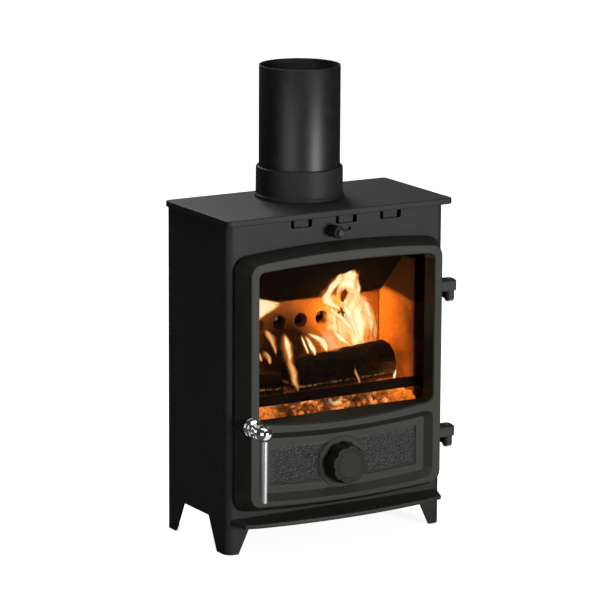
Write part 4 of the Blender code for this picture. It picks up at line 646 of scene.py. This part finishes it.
def flame_look(name, strength, cover, stops, low, high, edge=1.5, wild=1.0, gaps=()):
    """Glowing gas: thin at its edges and tip, drawn out upwards in licks. gaps holds (place, radius) of clear spots."""
    mat, shader = material(name, Base_Color=(0, 0, 0, 1), Roughness=1.0, Specular_IOR_Level=0.0,
                           Emission_Strength=strength)
    tree = mat.node_tree
    flow = split_up(tree, node(tree, "ShaderNodeUVMap", uv_map="flow").outputs["UV"])
    place = place_in(tree)
    drawn = node(tree, "ShaderNodeMapping", {"Vector": place, "Scale": (1.0, 1.0, 0.30)}).outputs["Vector"]
    lick = calc(tree, "SUBTRACT", noisy(tree, drawn, 75.0, 2.5, distortion=0.8), 0.5)
    middle = calc(tree, "ABSOLUTE", calc(tree, "SUBTRACT", calc(tree, "MULTIPLY", flow["X"], 2.0), 1.0))
    body = calc(tree, "SUBTRACT", 1.0, calc(tree, "POWER", middle, edge))
    body = calc(tree, "MULTIPLY", body, remap(tree, flow["Y"], 1.0, 0.70))
    body = calc(tree, "MULTIPLY", body, remap(tree, flow["Y"], 0.0, 0.16, 0.15, 1.0))
    heat = calc(tree, "ADD", body, calc(tree, "MULTIPLY", lick, wild))
    for spot, radius in gaps:
        away = node(tree, "ShaderNodeVectorMath", {0: place, 1: spot}, operation="SUBTRACT").outputs["Vector"]
        away = node(tree, "ShaderNodeVectorMath", {0: away, 1: (1.0, 0.25, 0.75)},
                    operation="MULTIPLY").outputs["Vector"]
        away = node(tree, "ShaderNodeVectorMath", {0: away}, operation="LENGTH").outputs["Value"]
        heat = calc(tree, "SUBTRACT", heat, remap(tree, away, radius * 1.5, radius * 0.5))
    link(mat, ramp(tree, heat, stops), shader, "Emission Color")
    clear = node(tree, "ShaderNodeMapRange", {"Value": heat, "From Min": low, "From Max": high},
                 interpolation_type="SMOOTHSTEP").outputs["Result"]
    link(mat, calc(tree, "MULTIPLY", clear, cover), shader, "Alpha")
    return mat


body_fire = flame_look(
    "flame_body", 1.6, 0.84, [(0.05, (0.50, 0.12, 0.012)), (0.32, (0.74, 0.27, 0.05)), (0.55, (0.88, 0.47, 0.16)),
                              (0.80, (0.96, 0.80, 0.44)), (1.0, (0.96, 1.0, 0.76))],
    0.0, 0.65, 2.0, 1.7, ((at(75, 10, 361), 0.0100), (at(76, 14, 335), 0.0075)))
bright = flame_look(
    "flame", 1.6, 0.92, [(0.08, (0.66, 0.20, 0.03)), (0.28, (0.84, 0.44, 0.11)), (0.52, (0.92, 0.88, 0.46)),
                         (1.0, (0.95, 1.0, 0.85))], 0.05, 0.85, 1.2)
veil = flame_look(
    "flame_veil", 1.1, 0.45, [(0.1, (0.60, 0.17, 0.03)), (0.5, (0.88, 0.40, 0.14)), (1.0, (0.95, 0.66, 0.38))],
    0.05, 0.9)
dull = flame_look(
    "flame_dull", 1.1, 0.62, [(0.1, (0.50, 0.13, 0.016)), (0.5, (0.88, 0.36, 0.08)), (1.0, (0.96, 0.70, 0.32))],
    0.05, 1.0, 1.2)
smoke = flame_look(
    "flame_smoke", 1.0, 0.85, [(0.1, (0.10, 0.018, 0.002)), (1.0, (0.17, 0.036, 0.006))], 0.0, 0.6, 1.6, 0.6)
halo = flame_look(
    "flame_halo", 1.0, 0.30, [(0.1, (0.60, 0.15, 0.02)), (0.6, (0.85, 0.32, 0.07)), (1.0, (0.92, 0.45, 0.13))],
    0.0, 1.0, 1.0)

# ---------------------------------------------------------------- fire: logs, embers, ash and flames


def log(name, a, b, radius, steps, seed, replaced):
    """Charred log between two end centres, its bark broken up and its ends rounded."""
    along = b - a
    long = along.length * 1000
    along.normalize()
    rings = int(long / 2.6)
    profile = [(0.0, 0.0), (radius * 0.80, 0.4), (radius * 0.95, 2.4)]
    profile += [(radius, 4 + (long - 8) * i / rings) for i in range(rings + 1)]
    profile += [(radius * 0.95, long - 2.4), (radius * 0.80, long - 0.4), (0.0, long)]
    bm = lathe(profile, a, along, steps)
    for v in bm.verts:
        near = v.co - a
        foot = a + along * near.dot(along)
        out = v.co - foot
        if out.length < radius * 0.0004:
            continue
        x = near.dot(along) * 1000
        around = out.normalized() * radius
        spot = Vector((x * 0.4, 0, 0)) + around
        plates = noise.voronoi((spot + Vector((seed, seed, 0))) / 7.5)[0]
        split = min(1.0, 3.0 * (plates[1] - plates[0]))
        ridge = noise.fractal(spot / 9 + Vector((seed, 0, 0)), 0.8, 2.0, 4)
        knot = noise.noise(spot / 26 + Vector((0, seed, 0)))
        v.co += out.normalized() * (1.3 * split + 1.0 * ridge + 2.2 * knot - 2.2) / 1000
    return piece(name, bm, charred, "casing", "charred_wood", replaced, smooth=50)


log("front_log_charred", at(-38, -15, 246), at(148, -5.4, 255.5), 32, 88, 3.0, "front_log")
log("left_log_charred", at(-158, 2, 236), at(-56, -18, 232), 25, 72, 11.0, "left_log")

bed_bottom = 188.6
bed_front, bed_middle = -77, -16.75
bed_width, bed_depth = 322.8, 120.5


def ember_height(x, y):
    """Top of the ember bed in millimetres, as the solid bed has it."""
    brow = min(1.0, 0.5 + 0.5 * (y - bed_front) / 18)
    wave = 2 * math.pi / 24
    lumps = math.sin(wave * x + 2.1 * math.sin(wave * y / 2)) * math.cos(wave * y + math.sin(wave * x / 3))
    mound = 11 * math.exp(-((x - 108) / 50) ** 2 - ((y + 5) / 30) ** 2)
    return bed_bottom + (28 - 4 * (y - bed_front) / bed_depth) * brow + 2.2 * lumps + mound


seeded = random.Random(41)
bm = bmesh.new()
bmesh.ops.create_grid(bm, x_segments=170, y_segments=64, size=0.5)
for v in bm.verts:
    x, y = v.co.x * bed_width, bed_middle + v.co.y * bed_depth
    spot = Vector((x, y, 0))
    rough = 3.0 * noise.fractal(spot / 15, 0.9, 2.0, 4) + 2.0 * abs(noise.noise(spot / 5)) - 4.5
    v.co = at(x, y, ember_height(x, y) + rough)
close_below(bm, 2, bed_bottom / 1000)
loose_coals = 96
for i in range(loose_coals):
    x = -150 + 300 * (i + seeded.uniform(-0.6, 0.6)) / (loose_coals - 1)
    y = (-66, -50, -32)[i % 3] + seeded.uniform(-5, 5)
    size = seeded.uniform(5.0, 9.5)
    z = ember_height(x, y) - size * 0.72
    lump = bmesh.ops.create_icosphere(bm, subdivisions=3, radius=1.0)["verts"]
    off = Vector((seeded.uniform(0, 50), seeded.uniform(0, 50), 0))
    lean = Vector((seeded.uniform(-1, 1), seeded.uniform(-1, 1), 1)).normalized()
    turn = Matrix.Rotation(seeded.uniform(0, 6.3), 3, lean)
    stretch = Vector((seeded.uniform(0.9, 1.5), seeded.uniform(0.7, 1.1), seeded.uniform(0.6, 0.95)))
    for v in lump:
        facet = noise.voronoi(v.co * 1.1 + off)[0]
        grow = size * (0.74 + 0.34 * facet[0] + 0.10 * noise.fractal(v.co * 2.4 + off, 0.8, 2.0, 3))
        v.co = at(x, y, z) + turn @ (v.co * stretch * grow / 1000)
bmesh.ops.recalc_face_normals(bm, faces=bm.faces[:])
piece("ember_bed_glowing", bm, coal, "casing", "embers", "ember_bed", smooth=45)


# The tongues' sections are turned by about 31 degrees, broad side to the front left
turn_cos, turn_sin = 0.86, 0.51


def between(path, t):
    """Point at a share t of a path of equal spans, on a smooth curve through its places."""
    spans = len(path) - 1
    k = min(int(t * spans), spans - 1)
    f = t * spans - k
    near = [path[max(0, min(spans, k + j))] for j in (-1, 0, 1, 2)]
    return (0.5 * (2 * b + (c - a) * f + (2 * a - 5 * b + 4 * c - d) * f * f + (3 * b - a - 3 * c + d) * f ** 3)
            for a, b, c, d in zip(*near))


def tongue(name, path, look, depth=0.42, seed=0.0, reach=1.0):
    """Flame tongue, a closed lens in section. path holds (x, y, z, half width) from root to tip in millimetres.
    A reach below 1 cuts the tongue off before its tip."""
    bm = bmesh.new()
    ux, uy, uz = (bm.verts.layers.float.new(way) for way in ("across", "through", "along"))
    ring = set(bmesh.ops.create_circle(bm, segments=20, radius=1.0)["verts"])
    for v in ring:
        v[ux], v[uy] = v.co.x, v.co.y
    rings = 30
    for i in range(rings + 1):
        t = i / rings
        x, y, z, w = between(path, t)
        w = max(w, 0.25)
        sway = noise.noise(Vector((seed * 7.3, z / 16, 0.0))) * min(w, 8) * 0.45
        pinch = 1 + 0.35 * noise.noise(Vector((seed * 3.1, z / 11, 5.0)))
        if i:
            rim = [e for e in bm.edges if e.verts[0] in ring and e.verts[1] in ring]
            grown = bmesh.ops.extrude_edge_only(bm, edges=rim)["geom"]
            ring = {g for g in grown if isinstance(g, bmesh.types.BMVert)}
        for v in ring:
            ripple = 1 + 0.14 * noise.noise(Vector((v[ux] * 2 + seed, v[uy] * 2, z / 9)))
            broad, deep = v[ux] * w * pinch * ripple, v[uy] * w * depth * pinch
            v.co = at(x + sway + turn_cos * broad + turn_sin * deep, y - turn_sin * broad + turn_cos * deep, z)
            v[uz] = t * reach
        if i == 0:
            first = list(ring)
    bmesh.ops.pointmerge(bm, verts=first, merge_co=at(*path[0][:3]))
    bmesh.ops.pointmerge(bm, verts=list(ring), merge_co=at(*path[-1][:3]))
    flow = bm.loops.layers.uv.new("flow")
    for face in bm.faces:
        for loop in face.loops:
            loop[flow].uv = (0.5 + 0.5 * loop.vert[ux], loop.vert[uz])
    bmesh.ops.recalc_face_normals(bm, faces=bm.faces[:])
    return piece(name, bm, look, "casing", "dark_iron", smooth=180)


tongues = {
    "body": (body_fire, [
        (96, 22, 268, 44), (95, 22, 286, 46), (91, 20, 303, 46), (91, 18, 320, 42), (88, 16, 333, 40),
        (84, 14, 342, 38), (81, 12, 355, 35), (78, 8, 367, 27), (78, 6, 377, 21), (79, 6, 387, 20),
        (79, 6, 400, 23)]),
    "neck": (bright, [
        (83, 6, 341, 3), (89, 6, 353, 8), (91, 6, 364, 10), (88, 6, 377, 12), (86, 6, 387, 14), (85, 6, 397, 15),
        (86, 6, 405, 9), (86, 6, 411, 1)]),
    "left_shoulder": (bright, [
        (74, 4, 334, 2), (61, 4, 345, 7), (49, 4, 352, 10), (41, 4, 360, 9), (43, 4, 370, 8), (52, 4, 380, 8),
        (61, 4, 389, 7), (67, 4, 399, 5), (69, 4, 407, 1)]),
    "right_strand": (bright, [
        (121, 0, 294, 2), (120, 0, 310, 5), (117, 0, 324, 8), (111, 0, 339, 10), (103, 0, 352, 10), (95, 0, 364, 7),
        (94, 0, 377, 6), (95, 0, 389, 4), (96, 0, 399, 1)]),
    "thin_strand": (bright, [
        (93, -10, 287, 1), (89, -10, 298, 3), (84, -10, 312, 5), (80, -10, 326, 6.5), (74, -10, 339, 7),
        (67, -10, 348, 5), (60, -10, 355, 1)]),
    "lower_strand": (bright, [
        (89, -4, 298, 1), (79, -4, 315, 4.5), (66, -4, 328, 6.5), (54, -4, 338, 6.5), (46, -4, 347, 4.5),
        (44, -4, 355, 1)]),
    "far_right_wisp": (veil, [
        (137, 14, 283, 3.5), (137, 14, 299, 5), (134, 14, 316, 5), (130, 14, 332, 3.5), (126, 14, 347, 1)]),
    "arc_left": (bright, [
        (-7, -22, 282, 1.2), (-11, -22, 292, 2.2), (-16, -22, 302, 2.2), (-19, -22, 310, 1.8), (-21, -22, 319, 0.5)]),
    "arc_right": (bright, [
        (27, -20, 282, 1.8), (24, -20, 292, 5), (18, -20, 300, 8), (8, -20, 307, 8.5), (-2, -20, 313, 5.5),
        (-12, -20, 317, 1)]),
    "arc_foot": (bright, [
        (4, -22, 279, 1.6), (2, -22, 288, 4), (-2, -22, 297, 5), (-8, -22, 306, 3.5), (-13, -22, 314, 1)]),
    "leaning": (bright, [
        (72, -21, 287, 1), (63, -21, 294, 3.4), (53, -21, 301, 6), (46, -21, 308, 5.4), (40, -21, 315, 2),
        (37, -21, 320, 0.5)]),
    "log_veil": (veil, [
        (42, -12, 280, 14), (42, -12, 292, 18), (39, -12, 300, 17), (35, -12, 309, 11), (30, -12, 317, 2)]),
    "tall_front": (dull, [
        (-38, -44, 230, 1.8), (-43, -44, 245, 4.6), (-48, -44, 262, 6), (-53, -44, 278, 6), (-56, -44, 295, 6.5),
        (-59, -44, 309, 7.5), (-62, -44, 319, 6), (-65, -44, 328, 1)]),
    "tall_front_tip": (bright, [
        (-54, -45, 282, 2), (-56, -45, 293, 4), (-58, -45, 305, 5.5), (-61, -45, 316, 4.5), (-64, -45, 325, 1)]),
    "left_middle": (dull, [
        (-70, -30, 289, 1), (-73, -30, 301, 3.2), (-77, -30, 311, 5.2), (-81, -30, 322, 6.4), (-86, -30, 330, 4.5),
        (-92, -30, 334, 1)]),
    "left_low": (dull, [
        (-83, -34, 278, 2), (-85, -34, 287, 4.4), (-89, -34, 294, 4.4), (-95, -34, 302, 1.2)]),
    "left_lowest": (dull, [
        (-99, -34, 284, 1.5), (-102, -34, 292, 3.2), (-105, -34, 298, 3.2), (-108, -34, 304, 1)]),
    "wedge": (bright, [
        (-129, -60, 349, 3), (-126, -60, 357, 8), (-124, -60, 365, 12), (-120, -60, 371, 17), (-113, -60, 376, 23),
        (-108, -60, 381, 28), (-115, -60, 386, 21), (-123, -60, 391, 12), (-130, -60, 396, 3)]),
    "log_end": (bright, [
        (162, -5, 218, 1.6), (163, -5, 229, 3), (163, -5, 238, 3), (164, -5, 247, 2), (164, -5, 256, 0.5)]),
    "upper_pocket": (smoke, [
        (60, -14, 357, 1), (59, -14, 362, 4), (60, -14, 367, 5.2), (62, -14, 373, 4.2), (64, -14, 380, 1)]),
    "lower_pocket": (smoke, [
        (61, -14, 334, 0.8), (60, -14, 339, 2.4), (59, -14, 343, 3), (57, -14, 347, 2.2), (55, -14, 351, 0.6)]),
    "front_wisp": (veil, [
        (63, -62, 235, 1), (60, -62, 246, 3), (56, -62, 254, 3), (53, -62, 266, 0.8)]),
}
for count, (name, (look, path)) in enumerate(tongues.items()):
    # The body is flat and cut off under the throat plate
    shape = {"depth": 0.2, "reach": 0.72} if name == "body" else {}
    tongue("flame_" + name, path, look, seed=count + 1.0, **shape)
    if look in (bright, dull):
        tongue("halo_" + name, [(x, y + 1.5, z, w * 1.35 + 1.6) for x, y, z, w in path], halo, seed=count + 30.0)

ash_bottom, ash_top = 72.6, 76
ash_width, ash_depth, ash_middle = 292, 132, -10
heap = bmesh.new()
bmesh.ops.create_grid(heap, x_segments=70, y_segments=34, size=0.5)
for v in heap.verts:
    x, y = v.co.x * ash_width, ash_middle + v.co.y * ash_depth
    spot = Vector((x, y, 4))
    rim = min(1.0, 5 * min(0.5 - abs(v.co.x), 0.5 - abs(v.co.y)))
    v.co = at(x, y, ash_top + rim * (13 + 6 * noise.fractal(spot / 30, 0.9, 2.0, 4) + 1.5 * noise.noise(spot / 5)))
close_below(heap, 2, ash_bottom / 1000)
bmesh.ops.recalc_face_normals(heap, faces=heap.faces[:])
cold_ash, shader = material("cold_wood_ash", Roughness=0.98)
tree = cold_ash.node_tree
soft = noisy(tree, place_in(tree), 90.0, 6.0, roughness=0.65)
specks = cells(tree, place_in(tree), 320.0)
powder = blend(tree, remap(tree, soft, 0.3, 0.7), (0.30, 0.28, 0.26, 1), (0.55, 0.53, 0.50, 1))
link(cold_ash, blend(tree, remap(tree, specks, 0.16, 0.08), powder, (0.03, 0.03, 0.03, 1)), shader, "Base Color")
bumpy(cold_ash, shader, soft, 0.0012)
piece("ash_in_pan", heap, cold_ash, "casing", "pan_steel", smooth=60)

# ---------------------------------------------------------------- floor, lights and camera
bm = bmesh.new()
bmesh.ops.create_grid(bm, x_segments=1, y_segments=1, size=60.0)
mesh = bpy.data.meshes.new("floor")
bm.to_mesh(mesh)
bm.free()
floor = placed("floor", mesh)
floor.location = (0, 0, -0.0005)
pale, shader = material("pale_floor", Roughness=0.95, Specular_IOR_Level=0.0, Emission_Strength=1.0)
tree = pale.node_tree
# Near the stove the floor shows soft shadows, further out it runs into the white background
seen = node(tree, "ShaderNodeLightPath").outputs["Is Camera Ray"]
reach = node(tree, "ShaderNodeVectorMath", {0: place_in(tree)}, operation="LENGTH").outputs["Value"]
glow = blend(tree, remap(tree, reach, 0.35, 1.5), (0.90, 0.90, 0.90, 1), (1.0, 1.0, 1.0, 1))
link(pale, blend(tree, seen, (0.20, 0.20, 0.20, 1), (0.80, 0.80, 0.80, 1)), shader, "Base Color")
link(pale, blend(tree, seen, (0.0, 0.0, 0.0, 1), glow), shader, "Emission Color")
mesh.materials.append(pale)

world = bpy.data.worlds.new("studio")
bpy.context.scene.world = world
world.use_nodes = True
tree = world.node_tree
sky = tree.nodes["Background"]
sky.inputs["Color"].default_value = (1.0, 1.0, 1.0, 1)
seen = node(tree, "ShaderNodeLightPath").outputs["Is Camera Ray"]
tree.links.new(remap(tree, seen, 0.0, 1.0, 0.050, 1.0), sky.inputs["Strength"])


def lamp(name, place, aim, size, power):
    """Soft white panel of light, turned to what it lights."""
    data = bpy.data.lights.new(name, "AREA")
    data.shape = "RECTANGLE"
    data.size, data.size_y = size
    data.energy = power
    ob = placed(name, data)
    ob.location = place
    ob.rotation_mode = "QUATERNION"
    ob.rotation_quaternion = (Vector(aim) - Vector(place)).to_track_quat("-Z", "Y")
    return ob


lamp("key_softbox", (0.75, -2.6, 0.35), (0, 0, 0.26), (0.9, 1.2), 52)
lamp("top_softbox", (-0.2, 0.6, 2.4), (0, 0, 0.5), (1.8, 1.2), 12)
lamp("rear_softbox", (0.3, 2.7, 2.2), (0, 0, 0.3), (1.6, 1.2), 34)
# These three are seen only as sheen on paint and chrome
for card in (lamp("floor_bounce", (0.55, -1.05, 0.002), (0.55, -1.05, 1), (1.6, 1.7), 7.5),
             lamp("left_card", (-2.0, -1.3, 0.55), (-0.1, -0.1, 0.22), (1.7, 1.5), 17),
             lamp("high_card", (0.1, -0.7, 2.0), (0, 0, 0.3), (1.5, 1.3), 8)):
    card.visible_camera = card.visible_transmission = card.visible_diffuse = False


def ember_light(name, place, power, radius, colour):
    """Glow of the fire on the bricks round it."""
    data = bpy.data.lights.new(name, "POINT")
    data.energy = power
    data.color = colour
    data.shadow_soft_size = radius
    ob = placed(name, data)
    ob.location = place
    ob.visible_camera = ob.visible_glossy = ob.visible_transmission = False


ember_light("flame_glow", at(90, 24, 334), 1.9, 0.03, (1.0, 0.42, 0.065))
ember_light("left_flame_glow", at(-112, 12, 356), 0.22, 0.02, (1.0, 0.39, 0.07))
ember_light("ember_glow", at(100, 24, 262), 0.45, 0.02, (1.0, 0.39, 0.06))
ember_light("log_end_glow", at(140, -42, 238), 0.17, 0.015, (1.0, 0.39, 0.06))

# The camera stands at the photograph's angle
camera = placed("camera", bpy.data.cameras.new("camera"))
bpy.context.scene.camera = camera
camera.data.lens = 221.36
camera.data.clip_end = 30
azimuth, elevation, roll = math.radians(-30.70), math.radians(12.42), math.radians(0.32)
back = Vector((math.sin(azimuth) * math.cos(elevation), -math.cos(azimuth) * math.cos(elevation), math.sin(elevation)))
right = Vector((0, 0, 1)).cross(back).normalized()
upward = back.cross(right)
right, upward = (math.cos(roll) * right + math.sin(roll) * upward,
                 math.cos(roll) * upward - math.sin(roll) * right)
camera_distance = 5.772
spot = at(-10.17, 0, 366) + back * camera_distance
camera.matrix_world = Matrix.Translation(spot) @ Matrix((right, upward, back)).transposed().to_4x4()
bpy.context.scene.view_settings.view_transform = "Standard"
